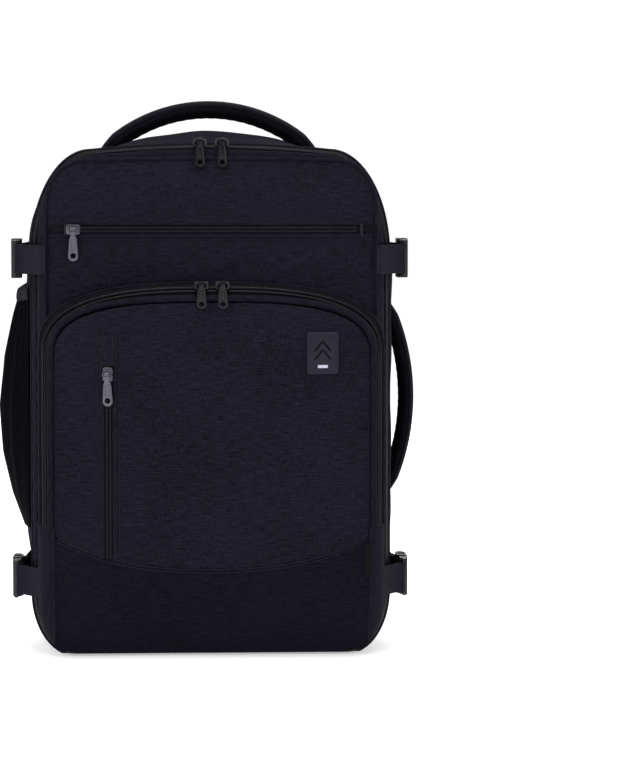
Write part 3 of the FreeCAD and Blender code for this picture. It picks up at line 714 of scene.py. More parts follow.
def arch_line(u, half, top, foot, power=ARCH_POWER, high=ARCH_HIGH):
    """x and z of an open arch from its left foot to its right: upright sides under a quarter of a superellipse each.

    On the superellipse |x / half| ** power + |height / high| ** power = 1, with points evenly spaced."""
    turn = np.linspace(0, math.pi / 2, 4000)
    over_x, over_z = np.cos(turn) ** (2 / power), np.sin(turn) ** (2 / power)
    run = np.r_[0, np.cumsum(np.hypot(np.diff(over_x) * 0.14, np.diff(over_z) * high))]
    t = 1 - np.abs(1 - 2 * u)
    up, over = np.clip(t / 0.46, 0, 1), np.clip((t - 0.46) / 0.54, 0, 1) * run[-1]
    x = half * np.interp(over, run, over_x)
    z = foot + (top - high - foot) * up + high * np.interp(over, run, over_z)
    return np.where(u < 0.5, -x, x), z


def arch_strip(y_from, y_to, count, rows, foot=FOLD, grow=0.0):
    """Grid along the arch, from one depth to another."""
    u = np.linspace(0, 1, count)[:, None]
    y = np.linspace(y_from, y_to, rows)[None, :]
    x, z = arch_line(u, half_at(y) + grow, np.interp(y, SIDE_Y, SIDE_TOP) + grow, foot)
    return np.stack([x, np.broadcast_to(y, x.shape), z], -1)


pocket_middle = np.array((0, -0.12, 0.18))
grid = arch_strip(-0.1185, -0.1281, 420, 10)
run = np.linspace(0, 0.62, 420)[:, None]
grid = (
    grid
    + unit(grid - pocket_middle) * ripple(run, np.linspace(0, 0.01, 10)[None], 0.011, 0.0003)[..., None] * (1, 0, 1)
)
gusset = skin("pocket_gusset_cloth", grid, painted_shade_side_cloth, "front_lid", middle=pocket_middle, slot="navy_cloth")
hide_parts("pocket_gusset")
zip_y = -0.1347
lid_tape = skin(
    "pocket_tape_rear", arch_strip(-0.1280, zip_y + 0.0002, 420, 6), tape_cloth, "front_lid", middle=pocket_middle,
    thick=0.0008, slot="zip_tape"
)
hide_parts("pocket_zip")
skin(
    "pocket_tape_front", arch_strip(zip_y - 0.0002, -0.1412, 420, 6), tape_cloth, "pocket_flap", middle=pocket_middle,
    thick=0.0008, slot="zip_tape"
)


def arch_path(y, grow=0.0, count=900, foot=FOLD):
    """Points along the arch at depth y, grown outwards by grow."""
    x, z = arch_line(np.linspace(0, 1, count), half_at(y) + grow, np.interp(y, SIDE_Y, SIDE_TOP) + grow, foot)
    return np.stack([x, np.full_like(x, y), z], 1)


for y, word, body in ((zip_y + 0.0012, "rear", "front_lid"), (zip_y - 0.0012, "front", "pocket_flap")):
    points, along = evenly(arch_path(y, 0.0002), TOOTH_PITCH, start=0.0008 * (word == "rear"))
    up = unit(np.stack([-along[:, 2], np.full(len(along), -0.85), along[:, 0]], 1))
    coil("pocket_teeth_" + word, points, along, up, body, (0.0010, 0.0020, 0.0015))
rope("pocket_gusset_piping", arch_path(-0.1276, 0.0003), 0.0010, binding_cloth, "front_lid", tufts=0.02)

FLAP_HALF, FLAP_TOP, FLAP_POWER, FLAP_HIGH = 0.1338, 0.3045, 3.0, 0.052
SMILE_LOW, SMILE_END = 0.0790, 0.1060
TOE_WIDE, TOE_HIGH = 0.026, 0.011


def smile(x):
    """Height of the curved seam: a shallow arc, lowest in the middle."""
    return SMILE_LOW + (SMILE_END - SMILE_LOW) * (np.abs(x) / 0.133) ** 2.5


def flap_top(x):
    """Height of the flap's upper edge above x: a superellipse inside the arch's, with a tighter corner."""
    over = np.clip(np.abs(x) / FLAP_HALF, 0, 1)
    return FLAP_TOP - FLAP_HIGH * (1 - (1 - over**FLAP_POWER) ** (1 / FLAP_POWER))


def edge_half(z):
    """Half width of the pocket's front at height z: straight, with a quarter of a low ellipse at the foot."""
    k = np.clip((z - 0.0022) / TOE_HIGH, 0, 1)
    return FLAP_HALF - TOE_WIDE * (1 - np.sqrt(1 - (1 - k) ** 2))


def foot_line(x):
    """Height of the pocket's lower edge above x, on the same ellipse."""
    over = np.clip((np.abs(x) - FLAP_HALF + TOE_WIDE) / TOE_WIDE, 0, 1)
    return 0.0022 + TOE_HIGH * (1 - np.sqrt(1 - over**2))


def pillow(x, z, top, foot, seed, high=0.0013):
    """How far a sewn panel stands out: drawn down at its edges, with soft folds and puckers beside the seams."""
    away = np.minimum(np.minimum(FLAP_HALF - np.abs(x), top - z), z - foot)
    away = np.maximum(away, 0)
    points = np.stack([x, 0 * x, z], -1)
    rise = 0.0016 * (1 - np.exp(-away / 0.006))
    wave = folds(points, seed, 0.12, high) + folds(points * (1.6, 1, 0.8), seed + 1, 0.055, high * 0.45)
    return rise + wave * np.clip(away / 0.03, 0.05, 1) + ripple(x + z, away, 0.014, 0.0004, 0.010)


a = np.sin(np.linspace(-math.pi / 2, math.pi / 2, 200))
x = (FLAP_HALF * (0.45 * a + 0.55 * np.linspace(-1, 1, 200)))[:, None]
b = np.linspace(0, 1, 200)[None, :]
z = smile(x) + (flap_top(x) - smile(x)) * b
x = x + 0 * z


WELT_X, WELT_HALF, WELT_TOP = -0.0875, 0.0078, 0.2770


def flap_face(x, z):
    """Depth of the flap's cloth: the pocket's front with its pillow, held even along the upright zip by a bell."""
    held = np.exp(-(((x - WELT_X) / 0.018) ** 2))
    return pocket_depth(x, z) + 0.0012 - pillow(x, z, flap_top(x), smile(x), 51) * (1 - held) - 0.0014 * held


flap = panel("pocket_flap_cloth", x, flap_face(x, z), z, navy_cloth, None)
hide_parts("pocket_flap")
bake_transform(flap)

# piping round the flap, from one end of the fold over the arch to the other
u = np.linspace(0, 1, 700)
px, pz = arch_line(u, FLAP_HALF + 0.0029, FLAP_TOP + 0.0036, FOLD, FLAP_POWER, FLAP_HIGH)
rope(
    "pocket_flap_piping", np.stack([px, -0.1418 + 0 * px, pz], 1), 0.0030, binding_cloth, "pocket_flap",
    tufts=0.02
)

# foot panel below the curved seam, and the pocket's lower sides
a = np.sin(np.linspace(-math.pi / 2, math.pi / 2, 200))[:, None]
b = (np.linspace(0, 1, 90) ** 0.9)[None, :]
x = FLAP_HALF * a + 0 * b
z = smile(x) * (1 - b) + foot_line(x) * b
y = (
    pocket_depth(x, z) - 0.0006 * np.sin(math.pi * b)
    - folds(np.stack([x, 0 * x, z], -1), 61, 0.1, 0.0007) * np.clip(b * 4, 0, 1) * np.clip((1 - b) * 4, 0, 1)
)
foot_panel = panel("foot_panel", x, y, z, foot_cloth, "front_lid")
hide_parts("lower_front_panel")
# A thin dark cord along the curved seam: partly the seam itself, partly painted shade for the groove where the two
# panels dip together.
sx = np.linspace(-0.1305, 0.1305, 400)
sz = smile(sx)
seam = np.stack([sx, pocket_depth(sx, sz) + 0.0006, sz], 1)
rope("curved_seam", seam, 0.0006, thread, "front_lid", tufts=0.05)
low_line = sz - 0.0024
stitches(
    "curved_seam_stitch", np.stack([sx, pocket_depth(sx, low_line) - 0.0001, low_line], 1), (0, -1, 0), "front_lid"
)
for side, word in ((-1, "left"), (1, "right")):
    z = 0.0050 + (FOLD - 0.0045) * np.linspace(0, 1, 110)[:, None] ** 2
    v = np.linspace(0, 1, 16)[None, :]
    front = pocket_depth(FLAP_HALF + 0 * z, z)
    y = -0.104 + (front + 0.104) * v
    under = np.clip(1 - z / 0.05, 0, 1)
    rear = SIDE_HALF[-1] - 0.034 * (1 - np.sqrt(1 - under**2))
    x = edge_half(z) + (rear - edge_half(z)) * (1 - v**2.6)
    grid = np.stack([side * x, y, z + 0 * y], -1)
    skin("pocket_side_" + word, grid, painted_shade_side_cloth, "front_lid", middle=pocket_middle, slot="navy_cloth")
    path = np.stack([side * (edge_half(z[:, 0]) + 0.0002), front[:, 0] - 0.0001, z[:, 0]], 1)
    rope("foot_piping_" + word, path, 0.0010, binding_cloth, "front_lid", tufts=0.02)
    z_end = np.full(30, FOLD + 0.0008)
    y = np.linspace(-0.1135, -0.1405, 30)
    path = np.stack([side * (half_at(y) + 0.0005), y, z_end], 1)
    rope("zip_end_seam_" + word, path, 0.0010, binding_cloth, "front_lid", up=(0, 0, 1.0))

# ---------------------------------------------------------------- upright zip, patch and side tag
# A coil zip in a folded welt runs down the flap under a small cloth garage. Beside it is a moulded rubber patch
# with a raised rim and plain inlaid bars, and a blank woven tag is caught in the side seam.


def upright_band(name, x_from, x_to, z, material, crown, slot, proud):
    """A strip lying on the flap between two upright lines, thicker along its middle by crown."""
    x = (x_from + (x_to - x_from) * np.linspace(0, 1, 9))[:, None] + 0 * z[None]
    z = z[None] + 0 * x
    v = np.linspace(0, 1, 9)[:, None]
    y = flap_face(x, z) - proud - crown * (1 - (2 * v - 1) ** 4)
    made = skin(
        name, np.stack([x, y, z], -1), material, None, middle=BEHIND, thick=0.0008, slot=slot, uv=np.stack([z, x], -1)
    )
    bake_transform(made)
    return made


z = np.linspace(smile(WELT_X) + 0.0005, WELT_TOP, 240)
upright_band("upright_fold_left", WELT_X - WELT_HALF, WELT_X - 0.0030, z, navy_cloth, 0.0009, "navy_cloth", 0.0003)
upright_band("upright_fold_right", WELT_X + 0.0030, WELT_X + WELT_HALF, z, navy_cloth, 0.0009, "navy_cloth", 0.0003)
bed = upright_band("upright_tape", WELT_X - 0.0034, WELT_X + 0.0034, z, tape_cloth, 0.0001, "zip_tape", 0.0002)
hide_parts("vertical_zip")
z = np.linspace(0.2520, WELT_TOP + 0.0010, 60)
upright_band(
    "upright_garage", WELT_X - WELT_HALF - 0.0003, WELT_X + WELT_HALF + 0.0003, z, navy_cloth, 0.0014, "navy_cloth",
    0.0008
)


def on_pocket(x, z, proud):
    """Points on the flap's cloth, standing out of it by proud."""
    x, z = np.broadcast_arrays(np.asarray(x, float), np.asarray(z, float))
    return np.stack([x, flap_face(x, z) - proud, z], -1)


for side, word in ((-1, "left"), (1, "right")):
    z = np.arange(smile(WELT_X) + 0.002, 0.2535, TOOTH_PITCH) + 0.0004 * side
    points = on_pocket(WELT_X + side * 0.0014, z, 0.0004)
    teeth = coil("upright_teeth_" + word, points, (0, 0, 1.0), (0, -1.0, 0), None)
    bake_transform(teeth)
    z = np.linspace(smile(WELT_X) + 0.002, WELT_TOP + 0.0008, 200)
    line = stitches(
        "upright_stitch_" + word, on_pocket(WELT_X + side * (WELT_HALF + 0.0012), z, 0.0001), (0, -1, 0), None
    )
    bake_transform(line)
x = np.linspace(WELT_X - WELT_HALF, WELT_X + WELT_HALF, 30)
stitches("garage_stitch_top", on_pocket(x, WELT_TOP - 0.0012, 0.0020), (0, -1, 0), "pocket_flap")
stitches("garage_stitch_foot", on_pocket(x, 0.2538, 0.0024), (0, -1, 0), "pocket_flap")

RUBBER_GRAIN = (900, 3)
patch_finish = {"Specular IOR Level": 0.2}
rubber = speckled("patch_rubber", (0.0064, 0.0057, 0.0145), 0.5, patch_finish, RUBBER_GRAIN, (0.8, 1.2), 0.25)


def patch_relief(p, q):
    """Height of the patch: a slab inside a rectangle with round corners, with a raised rim along its edge."""
    hx, hz, r = 0.0138, 0.0180, 0.0028
    over_x, over_z = np.abs(p) - hx + r, np.abs(q) - hz + r
    away = r - np.hypot(np.maximum(over_x, 0), np.maximum(over_z, 0)) - np.minimum(np.maximum(over_x, over_z), 0)
    slab = 0.0013 * np.clip(away / 0.0006, 0, 1) ** 0.5 - 0.0012 * (away < 0)
    rim = 0.0008 * np.exp(-(((away - 0.0013) / 0.0009) ** 4))
    return slab + rim


p = np.linspace(-0.0139, 0.0139, 120)[:, None]
q = np.linspace(-0.0181, 0.0181, 150)[None, :]
PATCH_X, PATCH_Z = 0.0930, 0.2622
x, z = PATCH_X + p + 0 * q, PATCH_Z + q + 0 * p
y = flap_face(x, z) + 0.0003 - patch_relief(p, q)
patch = skin(
    "rubber_patch_relief", np.stack([x, y, z], -1), rubber, "pocket_flap", middle=BEHIND, thick=0.0006, slot="rubber"
)
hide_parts("rubber_patch")
inlay = {
    "stroke_left": ((-0.0066, 0.0020), (-0.0004, 0.0098), 0.0007),
    "stroke_right": ((0.0004, 0.0098), (0.0066, 0.0020), 0.0007),
    "stroke_low_left": ((-0.0066, -0.0052), (-0.0004, 0.0026), 0.0007),
    "stroke_low_right": ((0.0004, 0.0026), (0.0066, -0.0052), 0.0007),
    "pill": ((-0.0042, -0.0112), (0.0042, -0.0112), 0.0013),
}
inlay_finish, pill_finish = {"Specular IOR Level": 0.05}, {"Specular IOR Level": 0.3}
black_rubber = speckled("inlay_rubber", (0.0016, 0.0015, 0.0022), 0.6, inlay_finish, RUBBER_GRAIN, (0.8, 1.2))
pale_rubber = speckled("pale_rubber", (0.42, 0.41, 0.50), 0.5, pill_finish, RUBBER_GRAIN, (0.9, 1.1))
for word, (start, end, radius) in inlay.items():
    p, q = [a + (b - a) * np.linspace(0, 1, 12) for a, b in zip(start, end)]
    line = on_pocket(PATCH_X + p, PATCH_Z + q, 0.0011)
    rope(
        "patch_" + word, line, radius, pale_rubber if word == "pill" else black_rubber, "pocket_flap",
        squeeze=0.5
    )

p = np.linspace(0, 1, 20)[:, None]
q = np.linspace(0, 1, 26)[None, :]
z = 0.070 + 0.030 * q + 0 * p
x = 0.1290 + 0.0050 * p + 0.0008 * np.sin(5 * q) * p
y = pocket_depth(0.1310 + 0 * z, z) - 0.0006 - 0.0060 * p - 0.0006 * np.sin(7 * q) * p
tag_cloth = woven("tag_cloth", (0.0060, 0.0060, 0.0075), 0.0005, 0.0001, kind="rib", rough=0.6)
skin(
    "side_tag", np.stack([x, y, z], -1), tag_cloth, "front_lid", middle=np.array((0, 1.0, 0.1)), thick=0.0007,
    slot="webbing"
)

# ---------------------------------------------------------------- inside of the front half
# The same lining, with a net pocket sewn over its lower half and two dark zips across it.
# A pale binding runs round both halves of the bag over the raw edges.

net_cloth = woven("net_cloth", (0.115, 0.112, 0.165), 0.0024, 0.0005, streak=(300, 300), contrast=0.10, rough=0.6)
INSIDE_HALF, INSIDE_LOW, INSIDE_HIGH = 0.1455, 0.0085, EDGE_TOP - 0.0075
x, z = spread(INSIDE_HALF, INSIDE_LOW, INSIDE_HIGH, 0.026, 0.048, 110, 140)
rim_in = np.minimum(np.minimum(INSIDE_HALF - np.abs(x), z - INSIDE_LOW), INSIDE_HIGH - z)
points = np.stack([x, 0 * x, z], -1)
slack = np.abs(folds(points, 71, 0.08, 0.0011)) + np.abs(folds(points, 72, 0.035, 0.0005))
y = -0.0968 - 0.0004 + slack * np.clip(rim_in / 0.025, 0, 1) * 0.8
lid_lining = panel("front_half_lining", x, y, z, lining_cloth, "front_lid", BEFORE, "lining")
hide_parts("lid_lining_panel")
POCKET_NET_HALF, POCKET_NET_LOW, POCKET_NET_HIGH = 0.1400, 0.0240, 0.2395
x, z = spread(POCKET_NET_HALF, POCKET_NET_LOW, POCKET_NET_HIGH, 0.022, 0.002, 120, 120)
points = np.stack([x, 0 * x, z], -1)
rim_in = np.minimum(np.minimum(POCKET_NET_HALF - np.abs(x), z - POCKET_NET_LOW), POCKET_NET_HIGH - z)
y = -0.0955 + np.abs(folds(points * (1.4, 1, 0.6), 73, 0.05, 0.0011)) * np.clip(rim_in / 0.02, 0, 1)
net = panel("inner_net_pocket", x, y, z, net_cloth, "front_lid", BEFORE, "lining_mesh")
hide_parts("inner_mesh_panel")


def inner_zip(name, x_low, x_high, z_mid, half):
    """A straight tape across the lining: depth rises by one minus the fourth power across its width."""
    x = np.linspace(x_low, x_high, 160)[:, None]
    v = np.linspace(-1, 1, 9)[None, :]
    y = -0.0951 + 0.0004 * (1 - v**4) + 0 * x
    return skin(
        name, np.stack([x + 0 * v, y, z_mid + half * v + 0 * x], -1), tape_cloth, "front_lid", middle=BEFORE,
        thick=0.0006, slot="zip_tape"
    )


NET_ZIP_Z, POCKET_ZIP_Z = 0.245, 0.348
first = inner_zip("inner_zip_net", -0.138, 0.138, NET_ZIP_Z, 0.0065)
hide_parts("inner_zips")
inner_zip("inner_zip_pocket", -0.112, 0.122, POCKET_ZIP_Z, 0.0060)
for z_mid, low, high, word in ((NET_ZIP_Z, -0.136, 0.134, "net"), (POCKET_ZIP_Z, -0.110, 0.118, "pocket")):
    x = np.arange(low, high, TOOTH_PITCH)
    points = np.stack([x, np.full_like(x, -0.0947), np.full_like(x, z_mid)], 1)
    coil("inner_teeth_" + word, points, (1.0, 0, 0), (0, 1.0, 0), "front_lid", (0.0011, 0.0044, 0.0011))

pale_binding = woven("pale_binding", (0.20, 0.205, 0.30), 0.0016, 0.0003, kind="rib", contrast=0.08, rough=0.7)
path = ring_path(-0.0862, 0.0048)
rope("body_binding", path, 0.0026, pale_binding, "bag_body", closed=True, squeeze=0.6, tufts=0.04)
path = ring_path(-0.0952, 0.0072)
rope("front_half_binding", path, 0.0024, pale_binding, "front_lid", closed=True, squeeze=0.5, tufts=0.04)

# ---------------------------------------------------------------- packing straps and inner label
# Two crossed straps of dark webbing hold the load against the divider, joined where they cross.
# A blank white label is sewn beside them.

webbing = woven(
    "webbing", (0.0092, 0.0085, 0.0130), 0.0019, 0.0005, kind="rib", streak=(200, 900), contrast=0.12, rough=0.72
)


WEBBING_WIDE, WEBBING_THICK = 0.025, 0.0015


def ribbon(name, path, wide, material, body, width=WEBBING_WIDE, thick=WEBBING_THICK, rows=9):
    """Webbing along a path: a flat band as wide as width along wide, with slightly raised edges."""
    path = np.asarray(path, float)
    wide = np.broadcast_to(np.asarray(wide, float), path.shape)
    ahead = unit(np.gradient(path, axis=0))
    face = unit(np.cross(ahead, wide))
    v = np.linspace(-0.5, 0.5, rows)[None, :, None]
    crown = 0.00018 * np.cos(v * math.pi * 2)
    top = path[:, None] + v * width * wide[:, None] + (thick / 2 - crown) * face[:, None]
    under = path[:, None] + v[:, ::-1] * width * wide[:, None] - (thick / 2 - crown[:, ::-1]) * face[:, None]
    around = np.concatenate([top, under], 1)
    over = np.r_[v[0, :, 0], v[0, ::-1, 0]] * width
    made = tube(name, around, travelled(path), over, material, body)
    split = made.modifiers.new("edges", "EDGE_SPLIT")
    split.split_angle = math.radians(50)
    return made


slope = math.radians(42)  # of the crossed straps
for side, word in ((-1, "first"), (1, "second")):
    s = np.linspace(-0.128, 0.128, 90)
    along = np.array((math.cos(slope), 0, side * math.sin(slope)))
    wide = np.array((-side * math.sin(slope), 0, math.cos(slope)))
    y = 0.0564 - 0.0016 * (side > 0) - 0.0016 * np.exp(-((s / 0.03) ** 2)) - 0.0006 * np.sin(s * 60)
    path = np.array((0, 0, 0.205)) + s[:, None] * along + np.stack([0 * s, y, 0 * s], 1)
    strap = ribbon("packing_strap_" + word, path, wide, webbing, "bag_body")
    if side < 0:
        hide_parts("packing_straps")
s = np.linspace(-0.016, 0.016, 20)
path = np.stack([0 * s, np.full_like(s, 0.0520), 0.205 + s], 1)
ribbon("packing_strap_joiner", path, (1.0, 0, 0), webbing, "bag_body", width=0.034, thick=0.0020)
label_cloth = woven("label_cloth", (0.72, 0.72, 0.74), 0.0006, 0.0001, contrast=0.02, rough=0.6)
p = np.linspace(0, 1, 16)[:, None]
q = np.linspace(0, 1, 16)[None, :]
grid = np.stack([0.086 + 0.030 * p + 0 * q, 0.0558 - 0.0012 * np.sin(3 * p) + 0 * q, 0.110 + 0.014 * q + 0.002 * p], -1)
skin("inner_label", grid, label_cloth, "bag_body", middle=BEHIND, thick=0.0004, slot="lining")

# ---------------------------------------------------------------- laptop compartment and padded back
# A slim case behind the divider with its own zip, lined like the rest and piped at both edges.
# Its back is foam under spacer mesh, drawn in by sewn channels.

LAPTOP_HINGE = (0.050, 0.385, 1)
tape("laptop_tape", (0.0622, 0.0660), (0.0004, 0.0006), "bag_body", "laptop_zip")
row_of_teeth("laptop_teeth_front", 0.0632, 0.0001, "bag_body", 0.0, 0.0, LAPTOP_HINGE)
row_of_teeth("laptop_teeth_rear", 0.0656, 0.0001, "bag_body", 0.0008, 0.0, LAPTOP_HINGE)
path = ring_path(0.0610, -0.0010)
path[:, 2] = np.maximum(path[:, 2], 0.0019)
rope("body_piping_rear", path, 0.0019, binding_cloth, "bag_body", closed=True, tufts=0.02)
u = np.linspace(0, 1, 520, endpoint=False)[:, None]
v = np.linspace(0, 1, 14)[None, :]
grid = ring(0.0664 + 0.0222 * v, 0.0006 + 0.0034 * v, u)
run = np.linspace(0, 1.45, 520, endpoint=False)[:, None]
out = unit(grid * (1, 0, 1) - np.array((0, 0, 0.22)))
grid = grid + out * (
    0.0012 * np.sin(math.pi * v) + ripple(run, 0.02 * v, 0.014, 0.0003)
    + folds(grid, 81, 0.06, 0.0005) * np.sin(math.pi * v)
)[..., None]
grid[..., 2] = np.maximum(grid[..., 2], 0.0012)
rear_band = skin("laptop_case_side", grid, painted_shade_side_cloth, "laptop_door", ring=True, slot="navy_cloth")
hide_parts("rear_gusset")
grid = ring(0.0674 + 0.0200 * v, 0.0058 + 0.0025 * v, u)
skin("laptop_case_lining", grid, lining_cloth, "laptop_door", ring=True, facing=-1, thick=0, slot="lining")
path = ring_path(0.0888, 0.0040)
rope("back_piping", path, 0.0019, binding_cloth, "laptop_door", closed=True, tufts=0.02)

spacer_mesh = woven("spacer_mesh", (0.0105, 0.0100, 0.0140), 0.0032, 0.0011, streak=(300, 300), contrast=0.2, rough=0.9)


BACK_HALF, BACK_LOW, BACK_HIGH = 0.1480, 0.004, 0.4330


def back_relief(x, z):
    """Padding on the back: two tall side pads and a middle air channel, drawn in along sewn lines."""
    channel = np.exp(-((x / 0.016) ** 2))
    rows = sum(np.exp(-(((z - h - 0.02 * (np.abs(x) / 0.14) ** 2) / 0.0050) ** 2)) for h in (0.115, 0.205, 0.295))
    away = np.minimum(np.minimum(BACK_HALF - np.abs(x), z - BACK_LOW), BACK_HIGH - z)
    crown = np.clip(away / 0.020, 0, 1) ** 0.5
    return 0.0052 * crown * (1 - 0.85 * channel) * (1 - 0.75 * rows * (np.abs(x) > 0.016))


x, z = spread(BACK_HALF, BACK_LOW, BACK_HIGH, 0.026, 0.048, 180, 240)
y = 0.0889 + back_relief(x, z) + folds(np.stack([x, 0 * x, z], -1), 83, 0.05, 0.0003)
back = panel("back_padding", x, y, z, spacer_mesh, "laptop_door", BEFORE, "padded_mesh_cloth")
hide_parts("back_panel", "back_foam")
x, z = spread(0.1445, 0.008, 0.4290, 0.025, 0.047, 40, 60)
skin(
    "laptop_case_back_lining", np.stack([x, 0.0874 + 0 * x, z], -1), lining_cloth, "laptop_door", middle=BEHIND,
    thick=0, slot="lining"
)

# ---------------------------------------------------------------- carry handles
# Cloth and net rolled round foam in two lobes with a seam between.
# They are flattened and sewn into the body at both ends, and stand off it between.

handle_cloth = woven("handle_cloth", (0.0040, 0.0036, 0.0066), 0.0013, 0.0003, kind="twill", rough=0.78)
handle_net = woven("handle_net", (0.0038, 0.0035, 0.0058), 0.0026, 0.0007, contrast=0.2, rough=0.9)


def rows_of(items, key):
    """A vector of each vertex or face, as the rows of an array."""
    flat = np.empty(len(items) * 3)
    items.foreach_get(key, flat)
    return flat.reshape(-1, 3)


def closed_up(made):
    """Merges a cover's doubled points, closes its ends and turns its faces outwards."""
    weld = bmesh.new()
    weld.from_mesh(made.data)
    bmesh.ops.remove_doubles(weld, verts=weld.verts, dist=1e-6)
    bmesh.ops.holes_fill(weld, edges=[e for e in weld.edges if e.is_boundary], sides=0)
    bmesh.ops.recalc_face_normals(weld, faces=weld.faces)
    weld.to_mesh(made.data)
    weld.free()


def blown(made, held, cap, pressure=4.0, frames=20):
    """Stuffs a closed or backed cover: Cloth with pressure and no gravity, held still at some of its points.

    No point moves further than cap: its move is cap * tanh(move / cap)."""
    start = rows_of(made.data.vertices, "co")
    seams = made.vertex_groups.new(name="seams")
    seams.add(np.flatnonzero(held).tolist(), 1.0, "REPLACE")
    cloth = made.modifiers.new("stuffing", "CLOTH")
    cloth.settings.use_pressure, cloth.settings.uniform_pressure_force = True, pressure
    cloth.settings.effector_weights.gravity = 0
    cloth.settings.vertex_group_mass = "seams"
    cloth.settings.mass, cloth.settings.quality = 0.2, 5
    cloth.settings.tension_stiffness = cloth.settings.compression_stiffness = 12
    cloth.point_cache.frame_end = frames
    for step in range(1, frames + 1):
        scene.frame_set(step)
    settled = made.evaluated_get(bpy.context.evaluated_depsgraph_get())
    move = rows_of(settled.data.vertices, "co") - start
    made.modifiers.remove(cloth)
    made.vertex_groups.clear()
    far = np.maximum(np.linalg.norm(move, axis=1, keepdims=True), 1e-9)
    made.data.vertices.foreach_set("co", (start + move / far * cap * np.tanh(far / cap)).ravel())
    made.data.update()
    scene.frame_set(1)


def handle(name, path, out, wide, width, thick, node):
    """A roll along an arc: a smooth lobe over a quilted one, drawn in along the seam between them on both sides.

    The section is a squared circle, narrowed by a bell at mid height, and flatter towards both ends."""
    n, m = len(path), 40
    t = np.linspace(-1, 1, n)
    end = np.clip((1 - np.abs(t)) / 0.20, 0, 1) ** 0.6
    turn = np.linspace(0, 2 * math.pi, m, endpoint=False)
    c, s = np.cos(turn), np.sin(turn)
    lobe = np.sign(s) * np.abs(s) ** 0.85
    side = np.sign(c) * np.abs(c) ** 0.70 * (1 - 0.10 * np.exp(-((lobe / 0.14) ** 2)))
    half = width / 2 * (0.90 + 0.10 * end)
    tall = (thick / 2 - 0.0008) * (0.22 + 0.78 * end)
    quilt = (
        np.sin(np.linspace(0, n * 0.16, n) * 2 * math.pi)[:, None] * np.clip(-lobe, 0, 1)[None] * 0.00012 * end[:, None]
    )
    grid = path[:, None] + (half[:, None] * side[None] * (1 + 20 * quilt))[..., None] * np.asarray(wide)
    grid = grid + (tall[:, None] * lobe[None] - quilt)[..., None] * out[:, None]
    grid = np.concatenate([grid, grid[:, :1]], 1)
    made = skin(name, grid, handle_cloth, "bag_body", thick=0, middle=path.mean(0), slot="handle_cloth")
    closed_up(made)
    spots = rows_of(made.data.vertices, "co")
    nearest = np.argmin(((spots[:, None] - path[None]) ** 2).sum(-1), 1)
    mid_height = np.abs(((spots - path[nearest]) * out[nearest]).sum(-1)) < 0.0012
    blown(made, mid_height | (nearest < 9) | (nearest > n - 10), 0.0012)
    made.data.materials.append(handle_net)
    centre = rows_of(made.data.polygons, "center")
    nearest = np.argmin(((centre[:, None] - path[None]) ** 2).sum(-1), 1)
    inner = ((centre - path[nearest]) * out[nearest]).sum(-1) < -0.0003
    made.data.polygons.foreach_set("material_index", inner.astype(np.int32))
    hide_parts(node)
    for word, k in (("front", -1), ("rear", 1)):
        seam = path + np.asarray(wide) * (k * half * 0.90)[:, None]
        rope(f"{name}_seam_{word}", seam, 0.0011, binding_cloth, "bag_body", up=wide, tufts=0.04)
    return made


TOP_CENTRE, TOP_RADIUS, TOP_TURN = np.array((0, -0.008, 0.3385)), 0.1310, math.radians(47.0)
turn = np.linspace(-TOP_TURN, TOP_TURN, 150)
out = np.stack([np.sin(turn), 0 * turn, np.cos(turn)], 1)
path = TOP_CENTRE + TOP_RADIUS * out
handle("top_handle_roll", path, out, (0, 1.0, 0), 0.0400, 0.0158, "top_handle")
SIDE_CENTRE, SIDE_RADIUS, SIDE_TURN = np.array((-0.0185, -0.013, 0.217)), 0.1928, math.radians(26.6)
turn = np.linspace(-SIDE_TURN, SIDE_TURN, 150)
out = np.stack([np.cos(turn), 0 * turn, np.sin(turn)], 1)
path = SIDE_CENTRE + SIDE_RADIUS * out
handle("side_handle_roll", path, out, (0, 1.0, 0), 0.0400, 0.0135, "side_handle")

# ---------------------------------------------------------------- bottle pocket
# Fine black net gathered into an elastic hem that sags in the middle; its colour is black made darker still as painted
# shade.
# It is sewn to the side at its ends and foot, and bellies out towards the foot.

# Net colour: the net's own black, pressed darker as painted shade.
black_net_with_painted_shade = woven(
    "bottle_net", (0.0021, 0.0020, 0.0031), 0.0021, 0.0006, streak=(500, 120), contrast=0.25, rough=0.8,
    **{"Sheen Weight": 0.0, "Specular IOR Level": 0.01}
)
NET_FRONT, NET_REAR = -0.0760, 0.0540
s = np.linspace(0, 1, 150)[:, None]
t = np.linspace(0, 1, 110)[None, :]
z_top = 0.3060 - 0.0050 * np.sin(math.pi * s)
z = 0.1080 + (z_top - 0.1080) * t
bulge = np.interp(
    0.108 + 0.195 * t, (0.108, 0.135, 0.170, 0.211, 0.255, 0.290, 0.303),
    (0.0030, 0.0125, 0.0205, 0.0230, 0.0185, 0.0108, 0.0074)
)
bow = 1 - (2 * s - 1) ** 2
gather = 0.0013 * np.sin(s * 2 * math.pi * 15 + 1.6 * np.sin(s * 21)) * np.clip((t - 0.45) / 0.5, 0, 1) ** 1.3
crease = (
    0.0016 * np.sin(s * 2 * math.pi * 6 + 2.4 * t + 1.5 * np.sin(s * 9)) * np.sin(math.pi * np.clip(t, 0, 1))
    * np.clip(bow * 2, 0, 1)
)
x = -(0.1562 + (0.0040 + bulge) * bow**0.85 + (gather + crease) * np.clip(bow * 3, 0, 1))
y = NET_FRONT + (NET_REAR - NET_FRONT) * s + 0 * t
bottle_net = skin("bottle_net", np.stack([x, y, z], -1), black_net_with_painted_shade, "bag_body", thick=0.0008, slot="mesh")
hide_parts("mesh_pocket")
t = np.linspace(0, 1, 12)[None, :]
z = z_top - 0.0010 + 0.0125 * t
